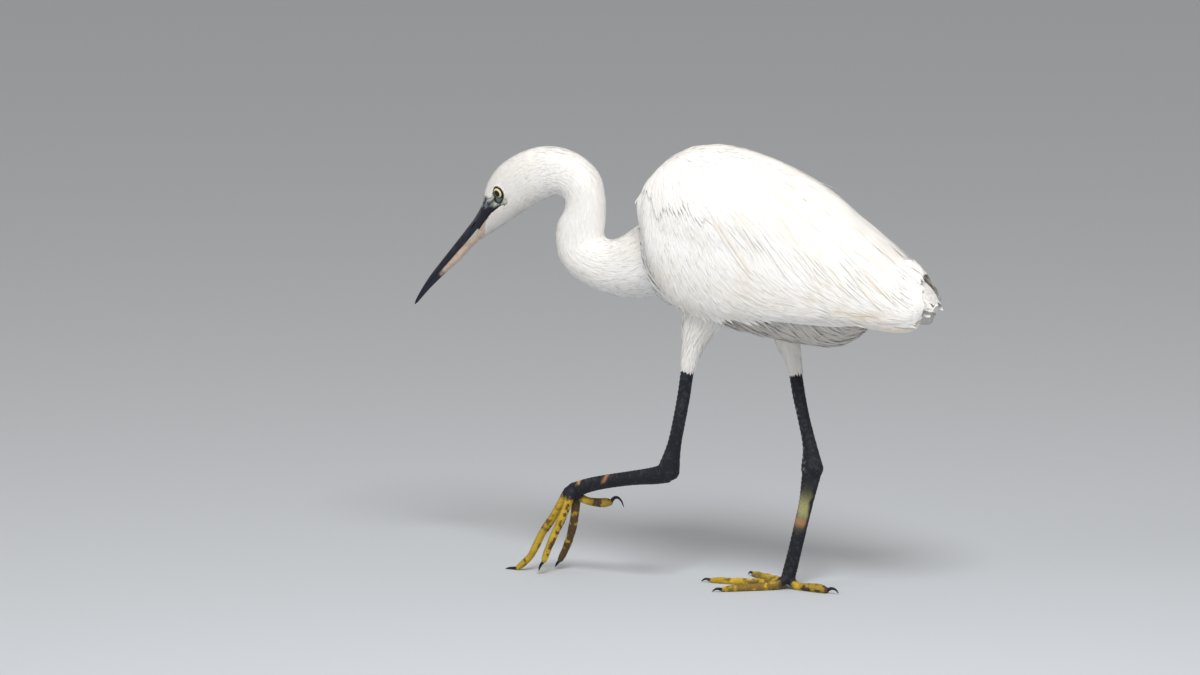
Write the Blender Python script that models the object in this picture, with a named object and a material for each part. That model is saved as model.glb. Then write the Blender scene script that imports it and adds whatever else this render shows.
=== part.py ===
"""Little egret, life size, wading: one foot flat on the ground, the other reaching down ahead.

Frame: +Z up, the bird faces -X, its left side is -Y, the ground is Z = 0.
Lengths are in millimetres. Trunk, neck, head, wings and limbs are lofts between sections;
a section of the neck and head is given by its dorsal point (x, z), its ventral point (x, z),
its half width and how far down its widest point lies.
"""
import bpy
import bmesh
import math
from mathutils import Vector

MM = 0.001
GAP = 0.3                         # clearance between neighbouring pieces
SHIFT = Vector((54.0, 0.0, 0.0))  # brings the middle of the plan onto the origin

# ---- driving sizes ---------------------------------------------------------
EYE_R = 6.4
EYE_AT = (-189.5, 7.7, 274.7)     # x, distance from the midline, z
ANKLE_R = 6.9
TIBIA_R = 3.9
TARSUS_R = 4.1
LEG_DEPTH = 1.2                   # fore-and-aft size of a shank over its width
TOE_R = 3.3
CLAW_R = 1.5
TAIL_THICK = 2.4
WING_EDGE = 1.4                   # thickness of a wing at its free edges
WING_PROUD = 2.0                  # least height of a wing over the trunk
TRUNK_WIDEST = 0.47
BODY_POWER = 2.2                  # roundness of the trunk's sections, 2 is an ellipse

HEAD_NECK = [
    (-207.9, 262.6, -213.6, 234.0,  5.6, 0.42),   # front edge of the feathering
    (-206.0, 271.0, -203.0, 241.0,  9.0, 0.42),
    (-203.0, 280.0, -190.5, 249.5, 11.8, 0.42),
    (-195.0, 291.0, -177.0, 259.0, 13.2, 0.46),   # behind the eyes
    (-182.0, 300.3, -164.5, 266.5, 13.8, 0.50),
    (-165.0, 306.7, -155.0, 271.5, 13.6, 0.52),
    (-147.0, 307.3, -148.0, 273.4, 13.2, 0.52),   # nape
    (-130.0, 301.5, -143.2, 272.0, 12.6, 0.50),
    (-117.0, 289.5, -141.4, 268.0, 12.6, 0.50),
    (-112.5, 272.5, -142.5, 262.5, 12.8, 0.50),
    (-112.3, 257.5, -147.5, 254.0, 13.4, 0.50),
    (-113.5, 247.5, -148.8, 242.0, 14.0, 0.50),
    (-112.5, 244.0, -145.5, 227.5, 15.0, 0.52),   # the low fold of the neck
    (-107.5, 243.4, -135.0, 216.3, 16.2, 0.54),
    (-100.5, 245.6, -117.0, 208.0, 18.0, 0.56),
    ( -92.0, 250.5,  -97.5, 204.0, 20.5, 0.56),
    ( -82.0, 257.5,  -79.0, 204.2, 24.0, 0.56),
    ( -70.0, 262.0,  -64.0, 209.5, 27.0, 0.55),   # inside the breast
]
CUT_HEAD, CUT_UPPER, CUT_MIDDLE = 6, 10, 13

# ridge x, z, keel x, z, mouth line x, z, half width
BILL = [
    (-208.4, 262.4, -214.1, 233.6, -212.1, 243.6, 5.3),
    (-215.1, 251.6, -219.9, 227.9, -218.1, 236.6, 4.9),
    (-224.7, 239.4, -227.9, 219.3, -226.5, 228.0, 4.2),
    (-237.5, 223.7, -238.4, 210.1, -237.9, 215.6, 3.3),
    (-251.2, 206.6, -249.6, 199.4, -250.4, 202.6, 2.2),
    (-259.2, 194.4, -257.4, 191.0, -258.4, 192.8, 1.4),
    (-264.1, 185.7, -262.9, 184.7, -263.5, 185.2, 0.5),
]

# x, back z, belly z, half width
TRUNK = [
    (-77.0, 263.0, 246.0,  8.0),
    (-75.0, 277.0, 230.0, 17.5),
    (-71.0, 289.5, 217.0, 25.5),
    (-65.0, 299.5, 208.0, 32.0),
    (-56.0, 308.0, 202.5, 37.0),
    (-42.0, 315.0, 197.5, 41.0),
    (-22.0, 318.0, 192.0, 43.0),
    (  0.0, 315.3, 187.5, 43.0),
    ( 24.0, 309.0, 183.5, 41.0),
    ( 46.0, 300.5, 181.5, 37.0),
    ( 66.0, 290.5, 180.5, 31.0),
    ( 82.0, 279.0, 185.0, 25.0),
    ( 96.0, 267.0, 196.0, 18.5),
    (106.0, 255.5, 209.0, 13.0),
    (113.0, 246.0, 220.0,  8.0),
]

# upper edge x, distance from the midline, z, the same for the lower edge, swell, thickness
WING = [
    (-69.0, 26.0, 286.0, -67.0, 30.0, 254.0,  4.0,  5.0),
    (-62.0, 23.0, 297.0, -57.0, 35.0, 229.0, 10.0,  8.0),
    (-48.0, 19.0, 308.0, -40.0, 37.5, 211.0, 15.0,  9.0),
    (-26.0, 16.0, 314.0, -17.0, 38.5, 203.5, 17.5,  9.0),
    (  2.0, 14.0, 310.0,   9.0, 38.5, 201.5, 18.0,  9.0),
    ( 32.0, 12.5, 301.5,  38.0, 37.5, 202.0, 17.0,  8.0),
    ( 60.0, 11.0, 289.0,  65.0, 34.5, 203.0, 14.5,  7.0),
    ( 85.0, 10.0, 274.0,  90.0, 30.5, 203.5, 12.0,  5.5),
    (106.0,  9.5, 259.5, 111.0, 26.0, 203.0,  9.5,  4.2),
    (124.0,  9.5, 245.0, 128.0, 21.5, 203.5,  6.5,  3.4),
    (138.0, 10.0, 232.5, 139.5, 17.5, 206.0,  4.0,  2.6),
    (146.0, 11.0, 224.0, 145.0, 14.0, 212.5,  1.5,  1.8),
]

# x, top z, half width of the folded tail
TAIL = [(90.0, 247.0, 7.5), (110.0, 238.5, 8.5), (130.0, 228.0, 9.0), (144.0, 219.0, 9.5), (152.0, 213.0, 7.5)]

# x, y, z, radius along each limb; in the thighs the last figure is the fore-and-aft size over the width
THIGH = {"left": [(-18, -19, 222, 13, 1.5), (-21.5, -20.5, 204, 12, 1.5), (-27.5, -21.3, 188, 8.6, 1.42), (-32, -21.3, 174, 6.0, 1.25), (-35.2, -21, 160.4, 4.6, 1.15)],
         "right": [(14, 19, 215, 12, 1.5), (18, 19.5, 198, 11, 1.5), (23, 19.2, 182, 8.0, 1.3), (28, 18.4, 168, 5.8, 1.15), (30.8, 17.8, 157.4, 4.6, 1.1)]}
TIBIA = {"left": [(-35.3, -21, 160.0, TIBIA_R), (-38.5, -20.8, 140, TIBIA_R), (-42.3, -20.6, 121, 3.9), (-46.6, -20.3, 102, 4.3), (-51.2, -20, 83.6, ANKLE_R)],
         "right": [(30.9, 17.8, 157.0, TIBIA_R), (34.2, 17.2, 140, TIBIA_R), (39.0, 16.4, 121, 3.7), (43.9, 15.4, 103, 4.4), (46.2, 14.5, 87.3, ANKLE_R)]}
TARSUS = {"left": [(-51.8, -20, 82.2, 6.0), (-62.0, -19.3, 79.2, 5.2), (-78.0, -18.0, 76.2, 4.4), (-98.0, -15.8, 72.0, TARSUS_R), (-116.0, -13.3, 67.3, 4.2), (-131.5, -11, 61.5, 4.5)],
          "right": [(46.2, 14.5, 85.8, 6.0), (44.8, 13.9, 78.0, 5.4), (42.0, 12.9, 62.0, 4.3), (38.2, 11.4, 44.0, TARSUS_R), (34.0, 9.6, 24.0, 4.1), (30.6, 8.2, 9.2, 4.3)]}

# the raised foot, base to tip of each toe (x, y, z)
LEFT_TOES = {
    "outer": [(-131.0, -14.6, 60.5), (-135.8, -17.0, 45.5), (-141.2, -19.0, 32.3), (-146.2, -20.4, 20.5), (-149.8, -21.0, 10.6)],
    "middle": [(-135.5, -11.0, 60.5), (-146.2, -11.0, 42.6), (-156.4, -11.2, 27.6), (-164.8, -11.4, 11.6), (-175.0, -11.6, 1.7)],
    "inner": [(-130.2, -7.8, 58.5), (-133.6, -4.2, 41.0), (-138.4, -1.2, 26.1), (-143.6, 0.8, 15.0), (-148.0, 2.2, 7.6)],
    "hind": [(-129.5, -9.4, 57.6), (-121.0, -8.8, 54.4), (-112.0, -7.9, 53.6), (-104.0, -7.2, 54.4)],
}
LEFT_CLAWS = {
    "outer": [(-152.6, -21.3, 6.2), (-153.8, -21.4, 2.6)],
    "middle": [(-181.5, -11.8, 0.8), (-185.0, -12.0, 0.2)],
    "inner": [(-151.2, 3.1, 4.0), (-152.8, 3.4, 1.4)],
    "hind": [(-100.9, -7.0, 57.4), (-98.0, -7.0, 58.2), (-95.0, -7.0, 56.0), (-92.9, -7.0, 51.6)],
}
# the standing foot: heading from straight ahead, length, sideways start
RIGHT_TOES = {"outer": (34.0, 50.0, 3.2), "middle": (-3.0, 58.0, 0.0), "inner": (-38.0, 45.0, -3.2), "hind": (188.0, 31.0, 0.0)}
RIGHT_JOINT = (30.4, 8.2)
TOE_SHAPE = [1.0, 0.95, 0.86, 0.92, 0.8, 0.84, 0.72, 0.74, 0.6]   # radius, joint by joint
HIND_SHAPE = [1.0, 0.92, 0.84, 0.84, 0.88, 0.95, 1.0, 0.96, 0.74]

PLUMAGE = ("plumage", (0.86, 0.85, 0.82), 0.85)
LEG_SKIN = ("leg_skin", (0.035, 0.037, 0.042), 0.5)
TOE_SKIN = ("toe_skin", (0.62, 0.45, 0.07), 0.55)
BILL_HORN = ("bill_horn", (0.03, 0.032, 0.045), 0.35)
BILL_PALE = ("bill_pale_horn", (0.52, 0.38, 0.31), 0.4)
CLAW_HORN = ("claw_horn", (0.05, 0.045, 0.04), 0.35)
EYE_SURFACE = ("eye_surface", (0.75, 0.66, 0.28), 0.08)

BODY = "little_egret"
CUTTERS = "cutters"


def start_scene():
    for obj in list(bpy.data.objects):
        bpy.data.objects.remove(obj, do_unlink=True)
    for name in (BODY, CUTTERS):
        bpy.context.scene.collection.children.link(bpy.data.collections.new(name))
    bpy.data.collections[CUTTERS].hide_render = True


def material(spec):
    name, colour, roughness = spec
    found = bpy.data.materials.get(name)
    if found:
        return found
    made = bpy.data.materials.new(name)
    made.use_nodes = True
    shader = made.node_tree.nodes["Principled BSDF"]
    shader.inputs["Base Color"].default_value = (*colour, 1)
    shader.inputs["Roughness"].default_value = roughness
    shader.inputs["Metallic"].default_value = 0.0
    made.diffuse_color = (*colour, 1)
    return made


# ---- curves and sections ---------------------------------------------------
def smooth(rows, u):
    """The rows read as a smooth curve, u running from 0 to len(rows) - 1."""
    i = min(int(u), len(rows) - 2)
    t = u - i
    a, b = rows[i], rows[i + 1]
    before = rows[i - 1] if i > 0 else [2 * p - q for p, q in zip(a, b)]
    after = rows[i + 2] if i + 2 < len(rows) else [2 * q - p for p, q in zip(a, b)]
    out = []
    for p0, p1, p2, p3 in zip(before, a, b, after):
        m1, m2 = (p2 - p0) / 2, (p3 - p1) / 2
        out.append((2 * t**3 - 3 * t**2 + 1) * p1 + (t**3 - 2 * t**2 + t) * m1
                   + (-2 * t**3 + 3 * t**2) * p2 + (t**3 - t**2) * m2)
    return out


def resampled(rows, steps):
    return [smooth(rows, (len(rows) - 1) * i / steps) for i in range(steps + 1)]


def superellipse(angle, power):
    c, s = math.cos(angle), math.sin(angle)
    return math.copysign(abs(c) ** (2 / power), c), math.copysign(abs(s) ** (2 / power), s)


def upright_section(top, bottom, half_width, widest, count, grow=0.0, power=2.15, turn=0.0):
    """A closed ring in the plane of the Y axis and the line from top to bottom."""
    top, bottom = Vector((top[0], 0, top[1])), Vector((bottom[0], 0, bottom[1]))
    line = (bottom - top).normalized()
    top, bottom = top - line * grow, bottom + line * grow
    middle = top.lerp(bottom, widest)
    ring = []
    for j in range(count):
        c, s = superellipse(2 * math.pi * (j + turn) / count, power)
        reach = (top - middle) if c >= 0 else (bottom - middle)
        ring.append(middle + reach * abs(c) + Vector((0, -(half_width + grow) * s, 0)))
    return ring


def loft(name, rings, spec, collection=BODY, start=None, end=None, floor=False):
    """A closed mesh through the rings; start and end are pole points, else the end is flat."""
    def place(p):
        q = (Vector(p) + SHIFT) * MM
        if floor:
            q.z = max(q.z, 0.0)       # what would sink into the ground becomes a flat
        return q
    bm = bmesh.new()
    loops = [[bm.verts.new(place(p)) for p in ring] for ring in rings]
    n = len(loops[0])
    for a, b in zip(loops, loops[1:]):
        for j in range(n):
            bm.faces.new((a[j], a[(j + 1) % n], b[(j + 1) % n], b[j]))
    for loop, pole in ((loops[0], start), (loops[-1], end)):
        if pole is None:
            bm.faces.new(loop)
        else:
            tip = bm.verts.new(place(pole))
            for j in range(n):
                bm.faces.new((tip, loop[j], loop[(j + 1) % n]))
    bmesh.ops.recalc_face_normals(bm, faces=bm.faces)
    bmesh.ops.triangulate(bm, faces=bm.faces)      # flat faces cut cleanly
    mesh = bpy.data.meshes.new(name)
    bm.to_mesh(mesh)
    bm.free()
    mesh.shade_smooth()
    mesh.set_sharp_from_angle(angle=math.radians(50))
    obj = bpy.data.objects.new(name, mesh)
    bpy.data.collections[collection].objects.link(obj)
    if collection == CUTTERS:
        obj.hide_render = True
        obj.display_type = "WIRE"
    else:
        mesh.materials.append(material(spec))
    return obj


def cut(obj, *cutters):
    for other in cutters:
        modifier = obj.modifiers.new("cut_" + other.name, "BOOLEAN")
        modifier.operation = "DIFFERENCE"
        modifier.object = other
        modifier.solver = "EXACT"
    return obj


# ---- head and neck ---------------------------------------------------------
def neck_length(name, u0, u1, count, last=False):
    """One length of the neck; all but the last stop short of u1 by the clearance."""
    def middle(u):
        tx, tz, bx, bz = smooth(HEAD_NECK, u)[:4]
        return Vector(((tx + bx) / 2, 0, (tz + bz) / 2))
    if not last:
        u1 -= GAP * 0.16 / (middle(u1) - middle(u1 - 0.1)).length
    steps = math.ceil((u1 - u0) * 2.0)
    rings = []
    for i in range(steps + 1):
        tx, tz, bx, bz, w, k = smooth(HEAD_NECK, u0 + (u1 - u0) * i / steps)
        rings.append(upright_section((tx, tz), (bx, bz), w, k, count, turn=0.5))
    return loft(name, rings, PLUMAGE)


def build_head_and_neck(trunk_clearance):
    head = neck_length("head", 0, CUT_HEAD, 20)
    neck_length("neck_upper", CUT_HEAD, CUT_UPPER, 18)
    neck_length("neck_middle", CUT_UPPER, CUT_MIDDLE, 18)
    cut(neck_length("neck_lower", CUT_MIDDLE, len(HEAD_NECK) - 1, 18, last=True), trunk_clearance)
    for side, sign in (("left", -1), ("right", 1)):
        centre = Vector((EYE_AT[0], sign * EYE_AT[1], EYE_AT[2]))
        build_ball("eye_" + side, centre, EYE_R, EYE_SURFACE, BODY, 14, 8)
        cut(head, build_ball("eye_clearance_" + side, centre, EYE_R + 1.2 * GAP, None, CUTTERS, 14, 8))


def build_ball(name, centre, radius, spec, collection, around, rows):
    rings = []
    for i in range(1, rows):
        a = math.pi * i / rows
        rings.append([centre + Vector((math.cos(b) * math.sin(a), math.cos(a), math.sin(b) * math.sin(a))) * radius
                      for b in (2 * math.pi * j / around for j in range(around))])
    return loft(name, rings, spec, collection, centre + Vector((0, radius, 0)), centre - Vector((0, radius, 0)))


def build_bill():
    """Two half-round horns meeting along the mouth line."""
    for name, spec, upper in (("bill_upper", BILL_HORN, True), ("bill_lower", BILL_PALE, False)):
        rings = []
        for tx, tz, bx, bz, gx, gz, w in resampled(BILL, 11):
            outer = Vector((tx, 0, tz)) if upper else Vector((bx, 0, bz))
            edge = Vector((gx, 0, gz))
            edge += (outer - edge).normalized() * GAP / 2
            ring = []
            for j in range(9):
                a = math.pi * j / 8
                ring.append(edge + (outer - edge) * math.sin(a) ** 0.85 + Vector((0, -w * math.cos(a), 0)))
            rings.append(ring)
        loft(name, rings, spec)


# ---- trunk, wings and tail -------------------------------------------------
def build_trunk(name, grow, collection=BODY):
    first, last = TRUNK[0], TRUNK[-1]
    rings = []
    for x, top, bottom, w in resampled(TRUNK, 20):
        x += grow * (2 * (x - first[0]) / (last[0] - first[0]) - 1)
        rings.append(upright_section((x, top), (x, bottom), w, TRUNK_WIDEST, 22, grow, BODY_POWER))
    start = (first[0] - 1.2 - 2 * grow, 0, (first[1] + first[2]) / 2)
    end = (last[0] + 4 + 2 * grow, 0, (last[1] + last[2]) / 2 - 2)
    return loft(name, rings, PLUMAGE, collection, start, end)


def off_the_trunk(point, height):
    """The point, moved away from the trunk's middle line if it stands less than height over its surface."""
    if not TRUNK[0][0] < point.x < TRUNK[-1][0]:
        return point
    i = next(k for k in range(len(TRUNK) - 1) if point.x <= TRUNK[k + 1][0])
    t = (point.x - TRUNK[i][0]) / (TRUNK[i + 1][0] - TRUNK[i][0])
    _, top, bottom, w = smooth(TRUNK, i + t)
    middle = top + (bottom - top) * TRUNK_WIDEST
    reach = top - middle if point.z > middle else middle - bottom
    q = ((abs(point.y) / w) ** BODY_POWER + (abs(point.z - middle) / reach) ** BODY_POWER) ** (1 / BODY_POWER)
    radius = math.hypot(point.y, point.z - middle)
    wanted = radius / q + height
    if radius >= wanted:
        return point
    scale = wanted / radius
    return Vector((point.x, point.y * scale, middle + (point.z - middle) * scale))


def build_wing(name, side, trunk_clearance):
    """Crescent sections from the upper to the lower edge, lying on the flank and free behind it."""
    rings, across = [], 9
    for ux, uy, uz, lx, ly, lz, swell, thick in resampled(WING, 13):
        upper, lower = Vector((ux, -uy, uz)), Vector((lx, -ly, lz))
        chord = lower - upper
        out = chord.cross(Vector((1, 0, 0))).normalized()
        out *= -1 if out.y > 0 else 1
        outer, inner = [], []
        for j in range(across + 1):
            t = j / across
            arch = (4 * t * (1 - t)) ** 0.72
            at = upper + chord * t
            outer.append(off_the_trunk(at + out * (swell * arch + WING_EDGE / 2), WING_PROUD + 1.5 * arch))
            inner.append(outer[-1] - out * (thick * arch + WING_EDGE))
        ring = outer + inner[::-1]
        if side == "right":
            ring = [Vector((p.x, -p.y, p.z)) for p in ring]
        rings.append(ring)
    return cut(loft(name, rings, PLUMAGE), trunk_clearance)


def build_tail(trunk_clearance):
    rings = []
    for x, z, w in resampled(TAIL, 8):
        ring = []
        for j in range(16):
            c, s = superellipse(2 * math.pi * j / 16, 2.6)
            y = w * s
            sag = 3.0 * (y / 12.0) ** 2          # the outer feathers lie lower
            ring.append(Vector((x, y, z - sag - TAIL_THICK / 2 + c * TAIL_THICK / 2)))
        rings.append(ring)
    return cut(loft("tail", rings, PLUMAGE), trunk_clearance)


# ---- limbs -----------------------------------------------------------------
def build_limb(name, rows, spec, steps, count=12, depth=1.0, domes=(False, False), clearance=False):
    """A tube along rows of (x, y, z, radius); with clearance it is the grown copy used as a cutter."""
    rows = resampled(rows, steps)
    points, radii = [Vector(r[:3]) for r in rows], [r[3] for r in rows]
    depths = [r[4] if len(r) > 4 else depth for r in rows]
    grow = GAP if clearance else 0.0
    for at_end in (False, True):
        tip, inner = (points[-1], points[-2]) if at_end else (points[0], points[1])
        out = (tip - inner).normalized()
        r = radii[-1] if at_end else radii[0]
        if domes[at_end]:
            extra = [(tip + out * r * math.sin(a), r * math.cos(a)) for a in (math.radians(35), math.radians(64))]
            if clearance:
                extra[-1] = (extra[-1][0] + out * grow, extra[-1][1])
        elif clearance:
            extra = [(tip + out * grow, r)]
        else:
            continue
        if at_end:
            points += [p for p, _ in extra]
            radii += [q for _, q in extra]
            depths += [depths[-1]] * len(extra)
        else:
            points = [p for p, _ in reversed(extra)] + points
            radii = [q for _, q in reversed(extra)] + radii
            depths = [depths[0]] * len(extra) + depths
    rings = []
    for i, (p, r, d) in enumerate(zip(points, radii, depths)):
        ahead = (points[min(i + 1, len(points) - 1)] - points[max(i - 1, 0)]).normalized()
        a = (Vector((0, 1, 0)) - ahead * ahead.y).normalized()
        b = ahead.cross(a)
        rings.append([p + a * ((r + grow) * math.cos(w)) + b * ((r * d + grow) * math.sin(w))
                      for w in (2 * math.pi * (j + 0.5) / count for j in range(count))])
    if clearance:
        return loft(name + "_clearance", rings, None, CUTTERS)
    return loft(name, rings, spec, floor=True)


def toe_rows(points, shape):
    """The path of a toe with the swell of its joints."""
    path = resampled([tuple(p) for p in points], len(shape) - 1)
    return [(*p, TOE_R * k) for p, k in zip(path, shape)]


def standing_toe(heading, length, sideways, shape):
    """A toe that leaves the joint, comes down and lies along the ground."""
    h = math.radians(heading)
    direction = Vector((-math.cos(h), math.sin(h), 0))
    start = Vector((*RIGHT_JOINT, 0)) + Vector((0, sideways, 0)) + direction * 1.0
    path = []
    for i, k in enumerate(shape):
        t = i / (len(shape) - 1)
        height = TOE_R * k - 0.45 + 4.0 * max(0.0, 1 - t / 0.26) ** 1.6
        p = start + direction * length * t
        path.append((p.x, p.y, height, TOE_R * k))
    tip = Vector(path[-1][:3])
    claw = [tip + direction * 5.0 + Vector((0, 0, 0.7)), tip + direction * 8.5 - Vector((0, 0, 1.1))]
    if abs(heading) > 90:
        claw = [tip + direction * 5.0 + Vector((0, 0, 1.8)), tip + direction * 8.6 + Vector((0, 0, 1.2)),
                tip + direction * 11.0 - Vector((0, 0, 1.1))]
    return path, claw


def claw_rows(toe, points):
    """A claw's path and radius; it begins square to the end of its toe, the clearance away."""
    tip, before = Vector(toe[-1][:3]), Vector(toe[-2][:3])
    ahead = (tip - before).normalized()
    points = [tip + ahead * GAP * 2.2, tip + ahead * (GAP * 2.2 + 1.0)] + [Vector(p) for p in points]
    n = len(points) - 1
    return [(*p, CLAW_R * (1 - 0.75 * (i / n) ** 1.3)) for i, p in enumerate(points)]


def build_leg(side, trunk_clearance):
    cut(build_limb("thigh_" + side, THIGH[side], PLUMAGE, 8, 16, 1.15, (True, False)), trunk_clearance)
    tibia = ("tibia_" + side, TIBIA[side], LEG_SKIN, 8, 11, LEG_DEPTH, (False, True))
    build_limb(*tibia)
    ankle = build_limb(*tibia, clearance=True)
    tarsus = ("tarsus_" + side, TARSUS[side], LEG_SKIN, 9, 11, LEG_DEPTH, (False, True))
    cut(build_limb(*tarsus), ankle)
    joint = build_limb(*tarsus, clearance=True)
    toes, between = {}, []
    for toe in ("middle", "outer", "inner", "hind"):
        swell = HIND_SHAPE if toe == "hind" else TOE_SHAPE
        if side == "left":
            rows, claw = toe_rows(LEFT_TOES[toe], swell), LEFT_CLAWS[toe]
        else:
            rows, claw = standing_toe(*RIGHT_TOES[toe], swell)
        shape = ("toe_%s_%s" % (toe, side), rows, TOE_SKIN, 8, 8, 1.0, (False, False))
        toes[toe] = build_limb(*shape)
        cut(toes[toe], joint)
        cut(toes[toe], *between)
        if toe in ("middle", "inner"):
            between.append(build_limb(*shape, clearance=True))
        build_limb("claw_%s_%s" % (toe, side), claw_rows(rows, claw), CLAW_HORN, 6 if toe == "hind" else 4, 7)


def main():
    start_scene()
    trunk_clearance = build_trunk("trunk_clearance", GAP, CUTTERS)
    build_trunk("trunk", 0.0)
    build_tail(trunk_clearance)
    build_head_and_neck(trunk_clearance)
    build_bill()
    for side in ("left", "right"):
        build_wing("wing_" + side, side, trunk_clearance)
        build_leg(side, trunk_clearance)


main()
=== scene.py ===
import math

import bpy
import numpy as np
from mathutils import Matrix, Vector
from mathutils.bvhtree import BVHTree


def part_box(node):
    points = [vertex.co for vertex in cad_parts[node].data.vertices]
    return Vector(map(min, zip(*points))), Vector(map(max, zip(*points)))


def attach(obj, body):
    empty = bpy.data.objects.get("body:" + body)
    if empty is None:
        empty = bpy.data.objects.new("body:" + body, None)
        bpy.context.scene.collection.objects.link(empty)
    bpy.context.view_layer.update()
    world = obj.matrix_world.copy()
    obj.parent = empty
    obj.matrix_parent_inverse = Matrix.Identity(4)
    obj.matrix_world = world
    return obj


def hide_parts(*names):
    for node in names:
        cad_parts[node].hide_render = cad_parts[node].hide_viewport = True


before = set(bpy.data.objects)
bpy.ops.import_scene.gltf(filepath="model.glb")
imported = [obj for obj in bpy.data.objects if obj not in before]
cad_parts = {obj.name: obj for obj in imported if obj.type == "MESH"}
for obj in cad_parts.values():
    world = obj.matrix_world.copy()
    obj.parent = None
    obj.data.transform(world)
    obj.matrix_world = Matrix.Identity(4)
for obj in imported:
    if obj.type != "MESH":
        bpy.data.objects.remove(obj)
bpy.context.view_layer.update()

# Little egret, life size. One skin from the bill's base to the toes lies inside a coat of modelled
# feathers; bill, eyes and claws are pieces of their own.
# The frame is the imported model's: +Z up, the bird faces -X, its left side is -Y. Lengths in the tables
# are millimetres, before the shift that brings the middle of the plan onto the origin.

MM = 0.001
SHIFT = np.array([54.0, 0.0, 0.0])
rng = np.random.default_rng(20)

# ---- the solids' own sizes ---------------------------------------------------
HEAD_NECK = np.array([     # dorsal x, z, ventral x, z, half width, how far down the widest point lies
    (-207.9, 262.6, -213.6, 234.0,  5.6, 0.42), (-206.0, 271.0, -203.0, 241.0,  9.0, 0.42),
    (-203.0, 280.0, -190.5, 249.5, 11.8, 0.42), (-195.0, 291.0, -177.0, 259.0, 13.2, 0.46),
    (-182.0, 300.3, -164.5, 266.5, 13.8, 0.50), (-165.0, 306.7, -155.0, 271.5, 13.6, 0.52),
    (-147.0, 307.3, -148.0, 273.4, 13.2, 0.52), (-130.0, 301.5, -143.2, 272.0, 12.6, 0.50),
    (-117.0, 289.5, -141.4, 268.0, 12.6, 0.50), (-112.5, 272.5, -142.5, 262.5, 12.8, 0.50),
    (-112.3, 257.5, -147.5, 254.0, 13.4, 0.50), (-113.5, 247.5, -148.8, 242.0, 14.0, 0.50),
    (-112.5, 244.0, -145.5, 227.5, 15.0, 0.52), (-107.5, 243.4, -135.0, 216.3, 16.2, 0.54),
    (-100.5, 245.6, -117.0, 208.0, 18.0, 0.56), (-92.0, 250.5, -97.5, 204.0, 20.5, 0.56),
    (-82.0, 257.5, -79.0, 204.2, 24.0, 0.56), (-70.0, 262.0, -64.0, 209.5, 27.0, 0.55)])
BILL = np.array([          # ridge x, z, keel x, z, mouth line x, z, half width
    (-208.4, 262.4, -214.1, 233.6, -212.1, 243.6, 5.3), (-215.1, 251.6, -219.9, 227.9, -218.1, 236.6, 4.9),
    (-224.7, 239.4, -227.9, 219.3, -226.5, 228.0, 4.2), (-237.5, 223.7, -238.4, 210.1, -237.9, 215.6, 3.3),
    (-251.2, 206.6, -249.6, 199.4, -250.4, 202.6, 2.2), (-259.2, 194.4, -257.4, 191.0, -258.4, 192.8, 1.4),
    (-264.1, 185.7, -262.9, 184.7, -263.5, 185.2, 0.5)])
TRUNK = np.array([         # x, back z, belly z, half width
    (-77.0, 263.0, 246.0, 8.0), (-75.0, 277.0, 230.0, 17.5), (-71.0, 289.5, 217.0, 25.5), (-65.0, 299.5, 208.0, 32.0),
    (-56.0, 308.0, 202.5, 37.0), (-42.0, 315.0, 197.5, 41.0), (-22.0, 318.0, 192.0, 43.0), (0.0, 315.3, 187.5, 43.0),
    (24.0, 309.0, 183.5, 41.0), (46.0, 300.5, 181.5, 37.0), (66.0, 290.5, 180.5, 31.0), (82.0, 279.0, 185.0, 25.0),
    (96.0, 267.0, 196.0, 18.5), (106.0, 255.5, 209.0, 13.0), (113.0, 246.0, 220.0, 8.0)])
TRUNK_WIDEST, BODY_POWER, NECK_POWER = 0.47, 2.2, 2.15
WING = np.array([          # upper edge x, distance from the midline, z, the same of the lower edge, swell, thickness
    (-69.0, 26.0, 286.0, -67.0, 30.0, 254.0, 4.0, 5.0), (-62.0, 23.0, 297.0, -57.0, 35.0, 229.0, 10.0, 8.0),
    (-48.0, 19.0, 308.0, -40.0, 37.5, 211.0, 15.0, 9.0), (-26.0, 16.0, 314.0, -17.0, 38.5, 203.5, 17.5, 9.0),
    (2.0, 14.0, 310.0, 9.0, 38.5, 201.5, 18.0, 9.0), (32.0, 12.5, 301.5, 38.0, 37.5, 202.0, 17.0, 8.0),
    (60.0, 11.0, 289.0, 65.0, 34.5, 203.0, 14.5, 7.0), (85.0, 10.0, 274.0, 90.0, 30.5, 203.5, 12.0, 5.5),
    (106.0, 9.5, 259.5, 111.0, 26.0, 203.0, 9.5, 4.2), (124.0, 9.5, 245.0, 128.0, 21.5, 203.5, 6.5, 3.4),
    (138.0, 10.0, 232.5, 139.5, 17.5, 206.0, 4.0, 2.6), (146.0, 11.0, 224.0, 145.0, 14.0, 212.5, 1.5, 1.8)])
WING_EDGE, WING_PROUD = 1.4, 2.0
TAIL = np.array([(90.0, 247.0, 7.5), (110.0, 238.5, 8.5), (130.0, 228.0, 9.0), (144.0, 219.0, 9.5), (152.0, 213.0, 7.5)])
THIGH = {"left": np.array([(-18, -19, 222, 13, 1.5), (-21.5, -20.5, 204, 12, 1.5), (-27.5, -21.3, 188, 8.6, 1.42),
                           (-32, -21.3, 174, 6.0, 1.25), (-35.2, -21, 160.4, 4.6, 1.15)]),
         "right": np.array([(14, 19, 215, 12, 1.5), (18, 19.5, 198, 11, 1.5), (23, 19.2, 182, 8.0, 1.3),
                            (28, 18.4, 168, 5.8, 1.15), (30.8, 17.8, 157.4, 4.6, 1.1)])}
ANKLE_R, TIBIA_R, TARSUS_R, LEG_DEPTH, TOE_R, CLAW_R = 6.9, 3.9, 4.1, 1.2, 3.3, 1.5
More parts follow.
